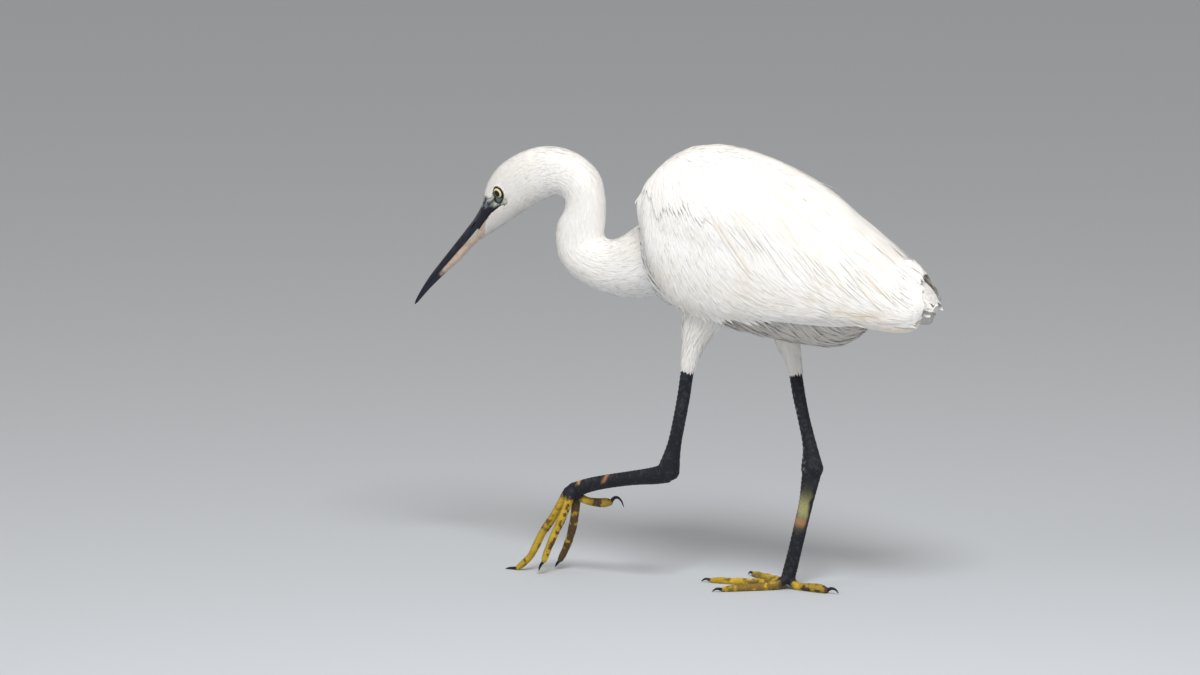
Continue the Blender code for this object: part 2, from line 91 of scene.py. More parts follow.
TIBIA = {"left": [(-35.3, -21, 160.0, TIBIA_R), (-38.5, -20.8, 140, TIBIA_R), (-42.3, -20.6, 121, 3.9),
                  (-46.6, -20.3, 102, 4.3), (-51.2, -20, 83.6, ANKLE_R)],
         "right": [(30.9, 17.8, 157.0, TIBIA_R), (34.2, 17.2, 140, TIBIA_R), (39.0, 16.4, 121, 3.7),
                   (43.9, 15.4, 103, 4.4), (46.2, 14.5, 87.3, ANKLE_R)]}
TARSUS = {"left": [(-51.8, -20, 82.2, 6.0), (-62.0, -19.3, 79.2, 5.2), (-78.0, -18.0, 76.2, 4.4),
                   (-98.0, -15.8, 72.0, TARSUS_R), (-116.0, -13.3, 67.3, 4.2), (-131.5, -11, 61.5, 4.5)],
          "right": [(46.2, 14.5, 85.8, 6.0), (44.8, 13.9, 78.0, 5.4), (42.0, 12.9, 62.0, 4.3),
                    (38.2, 11.4, 44.0, TARSUS_R), (34.0, 9.6, 24.0, 4.1), (30.6, 8.2, 9.2, 4.3)]}
LEFT_TOES = {
    "outer": [(-131.0, -14.6, 60.5), (-135.8, -17.0, 45.5), (-141.2, -19.0, 32.3), (-146.2, -20.4, 20.5), (-149.8, -21.0, 10.6)],
    "middle": [(-135.5, -11.0, 60.5), (-146.2, -11.0, 42.6), (-156.4, -11.2, 27.6), (-164.8, -11.4, 11.6), (-175.0, -11.6, 1.7)],
    "inner": [(-130.2, -7.8, 58.5), (-133.6, -4.2, 41.0), (-138.4, -1.2, 26.1), (-143.6, 0.8, 15.0), (-148.0, 2.2, 7.6)],
    "hind": [(-129.5, -9.4, 57.6), (-121.0, -8.8, 54.4), (-112.0, -7.9, 53.6), (-104.0, -7.2, 54.4)]}
LEFT_CLAWS = {
    "outer": [(-152.6, -21.3, 6.2), (-153.8, -21.4, 2.6)], "middle": [(-181.5, -11.8, 0.8), (-185.0, -12.0, 0.2)],
    "inner": [(-151.2, 3.1, 4.0), (-152.8, 3.4, 1.4)],
    "hind": [(-100.9, -7.0, 57.4), (-98.0, -7.0, 58.2), (-95.0, -7.0, 56.0), (-92.9, -7.0, 51.6)]}
RIGHT_TOES = {"outer": (34.0, 50.0, 3.2), "middle": (-3.0, 58.0, 0.0), "inner": (-38.0, 45.0, -3.2), "hind": (188.0, 31.0, 0.0)}
RIGHT_JOINT = (30.4, 8.2)
TOE_SHAPE = [1.0, 0.95, 0.86, 0.92, 0.8, 0.84, 0.72, 0.74, 0.6]
HIND_SHAPE = [1.0, 0.92, 0.84, 0.84, 0.88, 0.95, 1.0, 0.96, 0.74]
TOES = ("inner", "middle", "outer", "hind")

# ---- looks ---------------------------------------------------------------------
WHITE = (0.92, 0.922, 0.915)
CREAM = (0.74, 0.64, 0.50)
BLACK_HORN = np.array([0.010, 0.012, 0.020])
PALE_HORN = np.array([0.57, 0.44, 0.355])
LORE = np.array([0.15, 0.175, 0.195])
LORE_DARK = np.array([0.028, 0.032, 0.045])
LORE_PALE = np.array([0.40, 0.41, 0.38])
LID = np.array([0.15, 0.20, 0.19])
PALE_GREEN = np.array([0.47, 0.52, 0.41])
LEG_BLACK = np.array([0.010, 0.011, 0.017])
# painted sheen: grey standing in for the shine of the black leg scales
LEG_SHEEN_GREY = np.array([0.030, 0.032, 0.041])
LEG_ORANGE = np.array([0.42, 0.20, 0.095])
TOE_YELLOW = np.array([0.52, 0.345, 0.028])
TOE_BROWN = np.array([0.075, 0.045, 0.022])
PLUMAGE_SKIN = np.array([0.82, 0.79, 0.74])

# The side view (x, z) of the bare face, and of its black part along the mouth line
BARE_FACE = [(-211.0, 266.0), (-204.6, 268.0), (-201.4, 269.2), (-198.4, 268.2), (-196.0, 268.6), (-192.5, 271.0),
             (-188.0, 270.5), (-184.0, 268.8), (-184.6, 265.4), (-188.0, 262.7), (-192.7, 260.4), (-198.3, 256.2),
             (-203.1, 250.0), (-205.7, 240.9), (-209.6, 236.8), (-211.3, 232.5), (-222.0, 228.0), (-222.0, 262.0)]
HORN_FACE = [(-212.0, 262.0), (-204.7, 259.4), (-199.9, 261.9), (-191.5, 264.3), (-187.5, 264.6), (-189.0, 262.9),
             (-192.1, 262.0), (-198.5, 257.2), (-204.9, 250.1), (-212.4, 241.6), (-222.0, 245.0)]
MOUTH = [(-214.0, 239.6), (-212.1, 241.9), (-204.9, 250.3), (-198.5, 257.3), (-192.1, 262.2), (-187.0, 265.0)]


# ---- numbers ---------------------------------------------------------------------
def step(low, high, x):
    t = np.clip((np.asarray(x, float) - low) / (high - low), 0, 1)
    return t * t * (3 - 2 * t)


def spline(rows, u):
    """The rows read as a smooth curve at each u, straight beyond their ends."""
    rows = np.asarray(rows, float)
    n = len(rows)
    wide = np.vstack([2 * rows[0] - rows[1], rows, 2 * rows[-1] - rows[-2]])
    u = np.asarray(u, float)
    inside = np.clip(u, 0, n - 1)
    i = np.minimum(inside.astype(int), n - 2)
    t = (inside - i)[..., None]
    p0, p1, p2, p3 = wide[i], wide[i + 1], wide[i + 2], wide[i + 3]
    m1, m2 = (p2 - p0) / 2, (p3 - p1) / 2
    value = ((2 * t**3 - 3 * t**2 + 1) * p1 + (t**3 - 2 * t**2 + t) * m1
             + (-2 * t**3 + 3 * t**2) * p2 + (t**3 - t**2) * m2)
    over = (u - inside)[..., None]
    return value + over * np.where(over < 0, rows[1] - rows[0], rows[-1] - rows[-2])


def unit(v):
    return v / np.maximum(np.linalg.norm(v, axis=-1, keepdims=True), 1e-12)


def dot(a, b):
    return (a * b).sum(-1)


def value_noise(p, size, seed=0):
    """Smooth noise from 0 to 1 at the points p, with blobs about size across."""
    q = np.asarray(p, float) / size + 31.7 * seed
    i = np.floor(q).astype(np.int64)
    f = q - i
    f = f * f * (3 - 2 * f)
    total = np.zeros(len(q))
    for a in (0, 1):
        for b in (0, 1):
            for c in (0, 1):
                h = (i[:, 0] + a) * 73856093 ^ (i[:, 1] + b) * 19349663 ^ (i[:, 2] + c) * 83492791 ^ (seed * 7919)
                h = (h ^ (h >> 13)) * 1274126177 & 0xFFFFFFFF
                h = (h ^ (h >> 16)) & 0xFFFF
                w = (f[:, 0] if a else 1 - f[:, 0]) * (f[:, 1] if b else 1 - f[:, 1]) * (f[:, 2] if c else 1 - f[:, 2])
                total += w * h / 65535.0
    return total


def cells(p, size, seed=0):
    """How deep in its cell each point is: 0 on the borders between rounded scales, 1 in their middles."""
    q = np.asarray(p, float) / size + 11.3 * seed
    base = np.floor(q).astype(np.int64)
    near = np.full((len(q), 2), 9.0)
    for a in (-1, 0, 1):
        for b in (-1, 0, 1):
            for c in (-1, 0, 1):
                i = base + (a, b, c)
                h = i[:, 0] * 73856093 ^ i[:, 1] * 19349663 ^ i[:, 2] * 83492791 ^ (seed * 9973)
                h = (h ^ (h >> 13)) * 1274126177 & 0xFFFFFFFF
                at = i + np.stack([(h & 1023), (h >> 10) & 1023, (h >> 20) & 1023], -1) / 1024.0 * 0.8 + 0.1
                d = np.linalg.norm(q - at, axis=1)
                far = np.minimum(np.maximum(near[:, 0], d), near[:, 1])
                near[:, 1] = far
                near[:, 0] = np.minimum(near[:, 0], d)
    return np.clip((near[:, 1] - near[:, 0]) * 2.2, 0, 1)


def signed_distance(polygon, x, z):
    """Distance from each (x, z) to the polygon's border, positive inside."""
    polygon = np.asarray(polygon, float)
    nearest = np.full(x.shape, 1e9)
    inside = np.zeros(x.shape, bool)
    for (x0, z0), (x1, z1) in zip(polygon, np.roll(polygon, -1, 0)):
        dx, dz = x1 - x0, z1 - z0
        t = np.clip(((x - x0) * dx + (z - z0) * dz) / (dx * dx + dz * dz), 0, 1)
        nearest = np.minimum(nearest, np.hypot(x - x0 - t * dx, z - z0 - t * dz))
        crosses = (z0 > z) != (z1 > z)
        with np.errstate(divide="ignore", invalid="ignore"):
            inside ^= crosses & (x < (x1 - x0) * (z - z0) / (z1 - z0 if z1 != z0 else 1e-9) + x0)
    return np.where(inside, nearest, -nearest)


def line_distance(line, x, z):
    line = np.asarray(line, float)
    nearest = np.full(x.shape, 1e9)
    for (x0, z0), (x1, z1) in zip(line, line[1:]):
        dx, dz = x1 - x0, z1 - z0
        t = np.clip(((x - x0) * dx + (z - z0) * dz) / (dx * dx + dz * dz), 0, 1)
        nearest = np.minimum(nearest, np.hypot(x - x0 - t * dx, z - z0 - t * dz))
    return nearest


# ---- the surfaces of the body, each a function of (u, v) ---------------------------
def section(top, bottom, width, widest, angle, power):
    c, s = np.cos(angle), np.sin(angle)
    c, s = np.sign(c) * np.abs(c) ** (2 / power), np.sign(s) * np.abs(s) ** (2 / power)
    middle = top + (bottom - top) * np.asarray(widest)[..., None]
    reach = np.where((c >= 0)[..., None], top - middle, bottom - middle)
    p = middle + reach * np.abs(c)[..., None]
    p[..., 1] -= width * s
    return p


def neck_surface(u, a):
    r = spline(HEAD_NECK, u)
    z = np.zeros(r.shape[:-1])
    return section(np.stack([r[..., 0], z, r[..., 1]], -1), np.stack([r[..., 2], z, r[..., 3]], -1),
                   r[..., 4], r[..., 5], a, NECK_POWER)


def trunk_surface(u, a):
    r = spline(TRUNK, u)
    z = np.zeros(r.shape[:-1])
    w = np.maximum(r[..., 3], 0.5)
    return section(np.stack([r[..., 0], z, r[..., 1]], -1), np.stack([r[..., 0], z, r[..., 2]], -1),
                   w, z + TRUNK_WIDEST, a, BODY_POWER)


TRUNK_X = TRUNK[:, 0]


def off_the_trunk(p, height, pull=False):
    u = np.interp(p[..., 0], TRUNK_X, np.arange(len(TRUNK_X)))
    r = spline(TRUNK, u)
    top, bottom, w = r[..., 1], r[..., 2], r[..., 3]
    middle = top + (bottom - top) * TRUNK_WIDEST
    reach = np.where(p[..., 2] > middle, top - middle, middle - bottom)
    q = ((np.abs(p[..., 1]) / w) ** BODY_POWER + (np.abs(p[..., 2] - middle) / reach) ** BODY_POWER) ** (1 / BODY_POWER)
    radius = np.hypot(p[..., 1], p[..., 2] - middle)
    scale = (radius / np.maximum(q, 1e-6) + height) / np.maximum(radius, 1e-6)
    scale = scale if pull else np.maximum(scale, 1.0)
    scale = np.where((p[..., 0] > TRUNK_X[0]) & (p[..., 0] < TRUNK_X[-1]), scale, 1.0)
    return np.stack([p[..., 0], p[..., 1] * scale, middle + (p[..., 2] - middle) * scale], -1)


def wing_face(u, v):
    """The left wing's outer face: u from shoulder to tip, v from the upper to the lower edge; the back beyond the upper one."""
    def inside(u, v):
        r = spline(WING, u)
        upper = np.stack([r[..., 0], -r[..., 1], r[..., 2]], -1)
        lower = np.stack([r[..., 3], -r[..., 4], r[..., 5]], -1)
        chord = lower - upper
        out = unit(np.cross(chord, (1.0, 0.0, 0.0)))
        out = out * np.where(out[..., 1:2] > 0, -1, 1)
        arch = np.clip(4 * v * (1 - v), 0, 1) ** 0.72
        p = upper + chord * v[..., None] + out * (np.maximum(r[..., 6], 0) * arch + WING_EDGE / 2)[..., None]
        return off_the_trunk(p, WING_PROUD + 1.5 * arch)
    u, v = np.asarray(u, float), np.asarray(v, float)
    within = np.clip(v, 0, 1)
    p = inside(u, within)
    over = (v - within)[..., None]
    below = (inside(u, within * 0 + 0.99) - inside(u, within * 0 + 0.90)) / 0.09
    r = spline(WING, u)
    across = 1 + np.minimum(v, 0) * np.hypot(r[..., 5] - r[..., 2], r[..., 4] - r[..., 1]) / np.maximum(r[..., 1], 1)
    return np.where(over > 0, p + over * below, np.where(over < 0, saddle_surface(u, across), p))


def wing_surface(u, v):
    """The wing's face as its feathers cover it, with no step where it meets the back."""
    u, v = np.asarray(u, float), np.asarray(v, float)
    blend = (1 - step(0.10, 0.24, np.abs(v)))[..., None]
    mean = sum(wing_face(u, v + shift) for shift in (-0.10, -0.05, 0.0, 0.05, 0.10)) / 5
    return wing_face(u, v) * (1 - blend) + mean * blend


def saddle_surface(u, s):
    """The back between the wings' upper edges: u from shoulder to wing tips, s from -1 on the right to 1 on the left."""
    r = spline(WING, u)
    top = np.interp(r[..., 0], TRUNK_X, TRUNK[:, 1])
    crown = np.clip(top - r[..., 2] + 0.8, 1.6, 9.0)
    return np.stack([r[..., 0], -s * r[..., 1], r[..., 2] + 0.3 + crown * (1 - s * s)], -1)


def thigh_surface(side):
    rows = THIGH[side]

    def surface(u, w):
        r = spline(rows, u)
        ahead = unit(spline(rows, u + 0.05)[..., :3] - spline(rows, u - 0.05)[..., :3])
        a = unit(np.array([0.0, 1.0, 0.0]) - ahead * ahead[..., 1:2])
        b = np.cross(ahead, a)
        return (r[..., :3] + a * (r[..., 3] * np.cos(w))[..., None] + b * (r[..., 3] * r[..., 4] * np.sin(w))[..., None])
    return surface


def frame_at(surface, u, v, eu=0.02, ev=0.02):
    """Point, both slopes and the outward normal."""
    pu = (surface(u + eu, v) - surface(u - eu, v)) / (2 * eu)
    pv = (surface(u, v + ev) - surface(u, v - ev)) / (2 * ev)
    return surface(u, v), pu, pv, unit(np.cross(pv, pu))


# ---- meshes ------------------------------------------------------------------------
def mesh_of(name, points, faces, smooth=True):
    """A mesh from points in table millimetres and arrays of faces."""
    mesh = bpy.data.meshes.new(name)
    co = ((np.asarray(points, float) + SHIFT) * MM).astype(np.float32)
    loops = np.concatenate([f.ravel() for f in faces]).astype(np.int32)
    totals = np.concatenate([np.full(len(f), f.shape[1]) for f in faces])
    starts = np.concatenate([[0], np.cumsum(totals)[:-1]]).astype(np.int32)
    mesh.vertices.add(len(co))
    mesh.vertices.foreach_set("co", co.ravel())
    mesh.loops.add(len(loops))
    mesh.loops.foreach_set("vertex_index", loops)
    mesh.polygons.add(len(totals))
    mesh.polygons.foreach_set("loop_start", starts)
    mesh.update(calc_edges=True)
    mesh.polygons.foreach_set("use_smooth", np.full(len(totals), smooth))
    return mesh


def piece(name, mesh):
    obj = bpy.data.objects.new(name, mesh)
    bpy.context.scene.collection.objects.link(obj)
    return obj


def points_of(mesh):
    co = np.empty(len(mesh.vertices) * 3, np.float32)
    mesh.vertices.foreach_get("co", co)
    return co.reshape(-1, 3).astype(float) / MM - SHIFT


def normals_of(mesh):
    n = np.empty(len(mesh.vertices) * 3, np.float32)
    mesh.vertices.foreach_get("normal", n)
    return n.reshape(-1, 3).astype(float)


def set_points(mesh, points):
    mesh.vertices.foreach_set("co", ((points + SHIFT) * MM).astype(np.float32).ravel())
    mesh.update()


def attribute(mesh, name, values, kind="FLOAT"):
    made = mesh.attributes.new(name, kind, "POINT")
    if kind == "FLOAT_COLOR":
        values = np.concatenate([values, np.ones((len(values), 1))], 1)
        made.data.foreach_set("color", values.astype(np.float32).ravel())
    else:
        made.data.foreach_set("value", np.asarray(values, np.float32))


def tube_mesh(name, grid, start=True, end=True):
    """A closed mesh through a grid of rings, with a fan at each end."""
    nu, na = grid.shape[:2]
    i, j = np.arange(nu - 1)[:, None], np.arange(na)[None, :]
    k = (j + 1) % na
    quads = np.stack([i * na + j, (i + 1) * na + j, (i + 1) * na + k, i * na + k], -1).reshape(-1, 4)
    points = [grid.reshape(-1, 3), grid[0].mean(0)[None], grid[-1].mean(0)[None]]
    first, last = nu * na, nu * na + 1
    j = np.arange(na)
    k = (j + 1) % na
    fans = np.concatenate([np.stack([np.full(na, first), j, k], -1),
                           np.stack([(nu - 1) * na + k, (nu - 1) * na + j, np.full(na, last)], -1)])
    points = np.concatenate(points)
    tri = np.concatenate([quads[:, [0, 1, 2]], quads[:, [0, 2, 3]], fans])
    a, b, c = points[tri[:, 0]], points[tri[:, 1]], points[tri[:, 2]]
    if dot(a, np.cross(b, c)).sum() < 0:
        quads, fans = quads[:, ::-1], fans[:, ::-1]
    return mesh_of(name, points, [quads, fans])


def evaluated(obj, name):
    """The object with its modifiers applied, as a new mesh; the object goes."""
    dg = bpy.context.evaluated_depsgraph_get()
    mesh = bpy.data.meshes.new_from_object(obj.evaluated_get(dg), depsgraph=dg)
    mesh.name = name
    bpy.data.objects.remove(obj)
    return mesh


def neighbour_smooth(mesh, points, times, weight=0.5, mask=None):
    edges = np.empty(len(mesh.edges) * 2, np.int32)
    mesh.edges.foreach_get("vertices", edges)
    edges = edges.reshape(-1, 2)
    n = len(points)
    count = np.bincount(edges.ravel(), minlength=n).astype(float)
    w = weight if mask is None else weight * mask[:, None]
    for _ in range(times):
        total = np.stack([np.bincount(edges[:, 0], points[edges[:, 1], k], n)
                          + np.bincount(edges[:, 1], points[edges[:, 0], k], n) for k in range(3)], -1)
        points = points + (total / count[:, None] - points) * w
    return points


# ---- the eyes: where they are, and the shape of their lids ---------------------------
EYE_R = 6.4
EYES = {}
for eye_side in ("left", "right"):
    eye_low, eye_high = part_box("eye_" + eye_side)
    EYES[eye_side] = np.array((eye_low + eye_high) / 2) / MM - SHIFT
BILLWARD = np.array([-0.68, 0.0, -0.73])
EYE_TURN = math.radians(22)         # the eyes look a little forwards, down the bill


def eye_axes(side):
    """The eye's axis, the direction on it towards the bill, and the third one."""
    sign = -1.0 if side == "left" else 1.0
    axis = unit(BILLWARD * math.sin(EYE_TURN) + np.array([0.0, sign * math.cos(EYE_TURN), 0.0]))
    toward = unit(BILLWARD - axis * (BILLWARD @ axis))
    return axis, toward, np.cross(axis, toward)


def eye_angles(p, side):
    """Angle from the eye's axis, angle round it from the bill's side, and distance from its centre."""
    axis, toward, third = eye_axes(side)
    d = p - EYES[side]
    r = np.maximum(np.linalg.norm(d, axis=-1), 1e-6)
    alpha = np.degrees(np.arccos(np.clip(dot(d, axis) / r, -1, 1)))
    beta = np.arctan2(dot(d, third), dot(d, toward))
    return alpha, beta, r


def low_lid(beta):
    """1 in the middle of the lower lid, 0 round the back and the top of the eye."""
    turn = np.angle(np.exp(1j * (np.asarray(beta) - 0.72)))
    return np.exp(-(turn / 0.80) ** 2)


def lid_opening(beta):
    """How far from the axis the lids' edge lies; the lower lid, in front and below, covers the most."""
    return 36.0 - 11.0 * low_lid(beta)


def lid_shape(q, side):
    """Each point's distance from the eye's centre, the distance of the skin there, and how much the lids shape it."""
    alpha, beta, r = eye_angles(q, side)
    facing = dot(q - EYES[side], eye_axes(side)[0]) > 0
    edge = lid_opening(beta)
    rim = np.interp(alpha - edge, [-40, -6, -2.5, 0.3, 3, 7, 12, 20, 36], [5.0, 5.3, 6.35, 6.80, 6.98, 6.92, 6.75, 6.90, 7.35])
    fold = 0.10 * np.sin((alpha - edge) * 0.6) * step(7, 13, alpha - edge)
    near = (1 - step(edge + 16, edge + 38, alpha)) * facing * (r < 14)
    radius = (rim + fold) * near + r * (1 - near)
    # the skin never dips below the eyeball just outside the lids
    radius = np.where(facing & (alpha > edge) & (alpha < edge + 42), np.maximum(radius, 6.62), radius)
    return r, radius, near


# ---- skin ------------------------------------------------------------------------------
def coat_depth(u):
    """Depth of the coat along head and neck."""
    return np.interp(u, [0, 1, 2, 4, 7, 12, 17], [0.25, 0.5, 0.8, 1.2, 1.6, 2.2, 3.0])


def face_shape(p, depth, normal):
    """Head points moved in by the coat, then shaped: bare face, mouth line, lids."""
    x, y, z = p[..., 0], p[..., 1], p[..., 2]
    side_on = step(1.5, 4.0, np.abs(y))
    bare = step(-0.7, 0.9, signed_distance(BARE_FACE, x, z)) * side_on
    q = p - normal * (depth * (1 - bare) + 0.75 * bare)[..., None]
    flat = q.reshape(-1, 3)
    wrinkle = (value_noise(flat, 1.7, 3) - 0.5) * 0.42 + (value_noise(flat, 0.8, 5) - 0.5) * 0.22
    horn = step(-0.5, 0.6, signed_distance(HORN_FACE, x, z)) * side_on
    q = q + normal * (wrinkle.reshape(x.shape) * bare * (1 - horn) + 0.42 * horn)[..., None]
    mouth = line_distance(MOUTH, x, z)
    fade = step(0.5, 3.0, z - 238.0) * side_on
    q = q - normal * (0.95 * np.exp(-(mouth / 0.5) ** 2) * fade)[..., None]
    for side in ("left", "right"):
        r, radius, _ = lid_shape(q, side)
        q = EYES[side] + (q - EYES[side]) * (radius / r)[..., None]
    return q


def head_and_neck_skin():
    u = np.concatenate([np.arange(0, 4.8, 0.036), np.arange(4.8, 7.0, 0.10), np.arange(7.0, 16.9, 0.17), [17.0]])
    around = 176
    a = 2 * np.pi * (np.arange(around) + 0.5) / around
    uu, aa = np.meshgrid(u, a, indexing="ij")
    p, _, _, n = frame_at(neck_surface, uu, aa)
    depth = coat_depth(uu)
    q = face_shape(p, depth, n)
    q[uu > 4.9] = (p - n * depth[..., None])[uu > 4.9]
    return tube_mesh("skin_head", q)


def trunk_skin():
    u = np.linspace(0.0, 14.0, 80)
    a = 2 * np.pi * np.arange(72) / 72
    uu, aa = np.meshgrid(u, a, indexing="ij")
    p, _, _, n = frame_at(trunk_surface, uu, aa)
    return tube_mesh("skin_trunk", p - n * 3.0)


def wing_skin(side):
    """The wing's flesh and feather bases, a blade under its outer face."""
    u = np.linspace(-0.05, 10.3, 64)
    v = np.linspace(0.06, 0.93, 22)
    uu, vv = np.meshgrid(u, v, indexing="ij")
    p, _, _, n = frame_at(wing_surface, uu, vv)
    thick = spline(WING, uu)[..., 7]
    deep = np.clip(thick * 0.34, 0.9, 2.6)
    outer = p - n * deep[..., None]
    inner = p - n * (deep + np.clip(thick * 0.5, 0.9, 4.0) * np.clip(4 * vv * (1 - vv), 0.25, 1)
                     + np.interp(uu, [0.0, 1.0], [6.0, 0.0]))[..., None]
    grid = np.concatenate([outer, inner[:, ::-1]], 1)
    if side == "right":
        grid = grid * (1, -1, 1)
    return tube_mesh("skin_wing_" + side, grid)


def limb_rings(rows, steps, count=22, depth=1.0, domes=(False, False)):
    """Rings of a tube along rows of (x, y, z, radius)."""
    r = spline(rows, np.linspace(0, len(rows) - 1, steps + 1))
    points, radii = list(r[:, :3]), list(r[:, 3])
    depths = list(r[:, 4]) if r.shape[1] > 4 else [depth] * len(points)
    for at_end in (False, True):
        if not domes[at_end]:
            continue
        tip, inner = (points[-1], points[-2]) if at_end else (points[0], points[1])
        out, rad = unit(tip - inner), radii[-1] if at_end else radii[0]
        extra = [(tip + out * rad * math.sin(w), rad * math.cos(w)) for w in (0.45, 0.85, 1.2)]
        if at_end:
            points += [e[0] for e in extra]
            radii += [e[1] for e in extra]
            depths += [depths[-1]] * 3
        else:
            points = [e[0] for e in extra[::-1]] + points
            radii = [e[1] for e in extra[::-1]] + radii
            depths = [depths[0]] * 3 + depths
    points = np.array(points)
    ahead = unit(np.gradient(points, axis=0))
    a = unit(np.array([0.0, 1.0, 0.0]) - ahead * ahead[:, 1:2])
    b = np.cross(ahead, a)
    w = 2 * np.pi * np.arange(count) / count
    radii, depths = np.array(radii)[:, None, None], np.array(depths)[:, None, None]
    return (points[:, None] + a[:, None] * radii * np.cos(w)[None, :, None]
            + b[:, None] * radii * depths * np.sin(w)[None, :, None])


def toe_rows(side, toe):
    """A toe's path and radius, joint by joint, and its claw's points."""
    shape = HIND_SHAPE if toe == "hind" else TOE_SHAPE
    if side == "left":
        path = spline(LEFT_TOES[toe], np.linspace(0, len(LEFT_TOES[toe]) - 1, len(shape)))
        return np.array([(*p, TOE_R * k) for p, k in zip(path, shape)]), LEFT_CLAWS[toe]
    heading, length, sideways = RIGHT_TOES[toe]
    h = math.radians(heading)
    direction = np.array([-math.cos(h), math.sin(h), 0.0])
    start = np.array([*RIGHT_JOINT, 0.0]) + np.array([0.0, sideways, 0.0]) + direction
    rows = []
    for i, k in enumerate(shape):
        t = i / (len(shape) - 1)
        height = TOE_R * k - 0.45 + 4.0 * max(0.0, 1 - t / 0.26) ** 1.6
        p = start + direction * length * t
        rows.append((p[0], p[1], height, TOE_R * k))
    tip = np.array(rows[-1][:3])
    if abs(heading) > 90:
        claw = [tip + direction * 5.0 + (0, 0, 1.8), tip + direction * 8.6 + (0, 0, 1.2), tip + direction * 11.0 - (0, 0, 1.1)]
    else:
        claw = [tip + direction * 5.0 + (0, 0, 0.7), tip + direction * 8.5 - (0, 0, 1.1)]
    return np.array(rows), claw


def along_limb(p, rows):
    """For each point: distance along the limb, distance from its line, and the way out from the line."""
    line = spline(rows, np.linspace(0, len(rows) - 1, 60))[:, :3]
    run = np.concatenate([[0], np.cumsum(np.linalg.norm(np.diff(line, axis=0), axis=1))])
    best = np.full(len(p), 1e9)
    where, out = np.zeros(len(p)), np.zeros_like(p)
    for i in range(len(line) - 1):
        d = line[i + 1] - line[i]
        t = np.clip((p - line[i]) @ d / (d @ d), 0, 1)
        off = p - line[i] - t[:, None] * d
        r = np.linalg.norm(off, axis=1)
        better = r < best
        best = np.where(better, r, best)
        where = np.where(better, run[i] + t * (run[i + 1] - run[i]), where)
        out = np.where(better[:, None], off, out)
    return where, best, unit(out)


def leg_parts(side):
    parts = [("tibia", TIBIA[side]), ("tarsus", TARSUS[side])]
    return parts + [("toe_" + t, toe_rows(side, t)[0]) for t in TOES]


def nearest_part(p, side):
    """Which part of the leg each point is on, with its distance along it and the way out."""
    found = None
    for i, (name, rows) in enumerate(leg_parts(side)):
        where, gap, out = along_limb(p, rows)
        radius = np.interp(where, np.linspace(0, where.max() + 1e-6, len(rows)), [r[3] for r in rows])
        gap = gap - radius
        if found is None:
            found = [np.full(len(p), 1e9), np.zeros(len(p), int), np.zeros(len(p)), np.zeros_like(p)]
        better = gap < found[0]
        found = [np.where(better, gap, found[0]), np.where(better, i, found[1]),
                 np.where(better, where, found[2]), np.where(better[:, None], out, found[3])]
    return found[1], found[2], found[3]


def scute_height(p, side):
    """Shields across the front of the shank and the tops of the toes, small round scales elsewhere."""
    part, where, out = nearest_part(p, side)
    line_dir = np.array([-0.92, 0.0, 0.4]) if side == "left" else np.array([-1.0, 0.0, 0.15])
    tarsus_front = np.array([-0.25, 0.0, 0.97]) if side == "left" else np.array([-1.0, 0.0, 0.1])
    front = np.where((part == 1)[:, None], tarsus_front, line_dir)
    top = np.array([-0.75, 0.0, 0.66]) if side == "left" else np.array([0.0, 0.0, 1.0])
    front = np.where((part >= 2)[:, None], top, front)
    facing = step(0.25, 0.6, dot(out, unit(front)))
    pitch = np.where(part == 1, 3.4, np.where(part == 0, 3.8, 2.5))
    phase = (where / pitch) % 1.0
    groove = np.exp(-((phase - 0.5) / 0.11) ** 2)
    shield = 0.12 * np.sin(np.pi * ((phase + 0.5) % 1.0)) - 0.30 * groove
    small = 0.26 * (cells(p, np.where(part >= 2, 1.5, 1.7)[:, None] * 1.0, 4) - 0.55)
    return facing * shield + (1 - facing) * small


def leg_skin(side):
    """Shank, ankle, foot and toes grown together, with their scales."""
    made = []
    made.append(limb_rings(np.vstack([[TIBIA[side][0][0] + (3 if side == "left" else -3), TIBIA[side][0][1], 172.0, 3.6], TIBIA[side]]),
                           18, depth=LEG_DEPTH, domes=(False, True)))
    made.append(limb_rings(TARSUS[side], 18, depth=LEG_DEPTH, domes=(False, True)))
    for toe in TOES:
        made.append(limb_rings(toe_rows(side, toe)[0], 24, domes=(True, True)))
    points, faces, first = [], [], 0
    for grid in made:
        part = tube_mesh("part", grid)
        co = points_of(part)
        points.append(co)
        tri = [np.array([v + first for v in f.vertices]) for f in part.polygons]
        faces += tri
        first += len(co)
        bpy.data.meshes.remove(part)
    quads = np.array([f for f in faces if len(f) == 4])
    fans = np.array([f for f in faces if len(f) == 3])
    obj = piece("leg_" + side, mesh_of("leg", np.concatenate(points), [quads, fans]))
    remesh = obj.modifiers.new("grown", "REMESH")
    remesh.mode, remesh.voxel_size = "VOXEL", 0.00060
    mesh = evaluated(obj, "leg_" + side)
    p = points_of(mesh)
    p = neighbour_smooth(mesh, p, 4)
    set_points(mesh, p)
    n = normals_of(mesh)
    p = p + n * (0.10 + scute_height(p, side))[:, None]
    p[:, 2] = np.maximum(p[:, 2], 0.02)
    set_points(mesh, p)
    return mesh


def thigh_skin(side):
    uu, ww = np.meshgrid(np.linspace(0, 4, 40), 2 * np.pi * np.arange(36) / 36, indexing="ij")
    surface = thigh_surface(side)
    p, _, _, n = frame_at(surface, uu, ww)
    return tube_mesh("skin_thigh_" + side, p - n * np.interp(uu, [0, 2, 4], [2.4, 1.6, 0.8])[..., None])


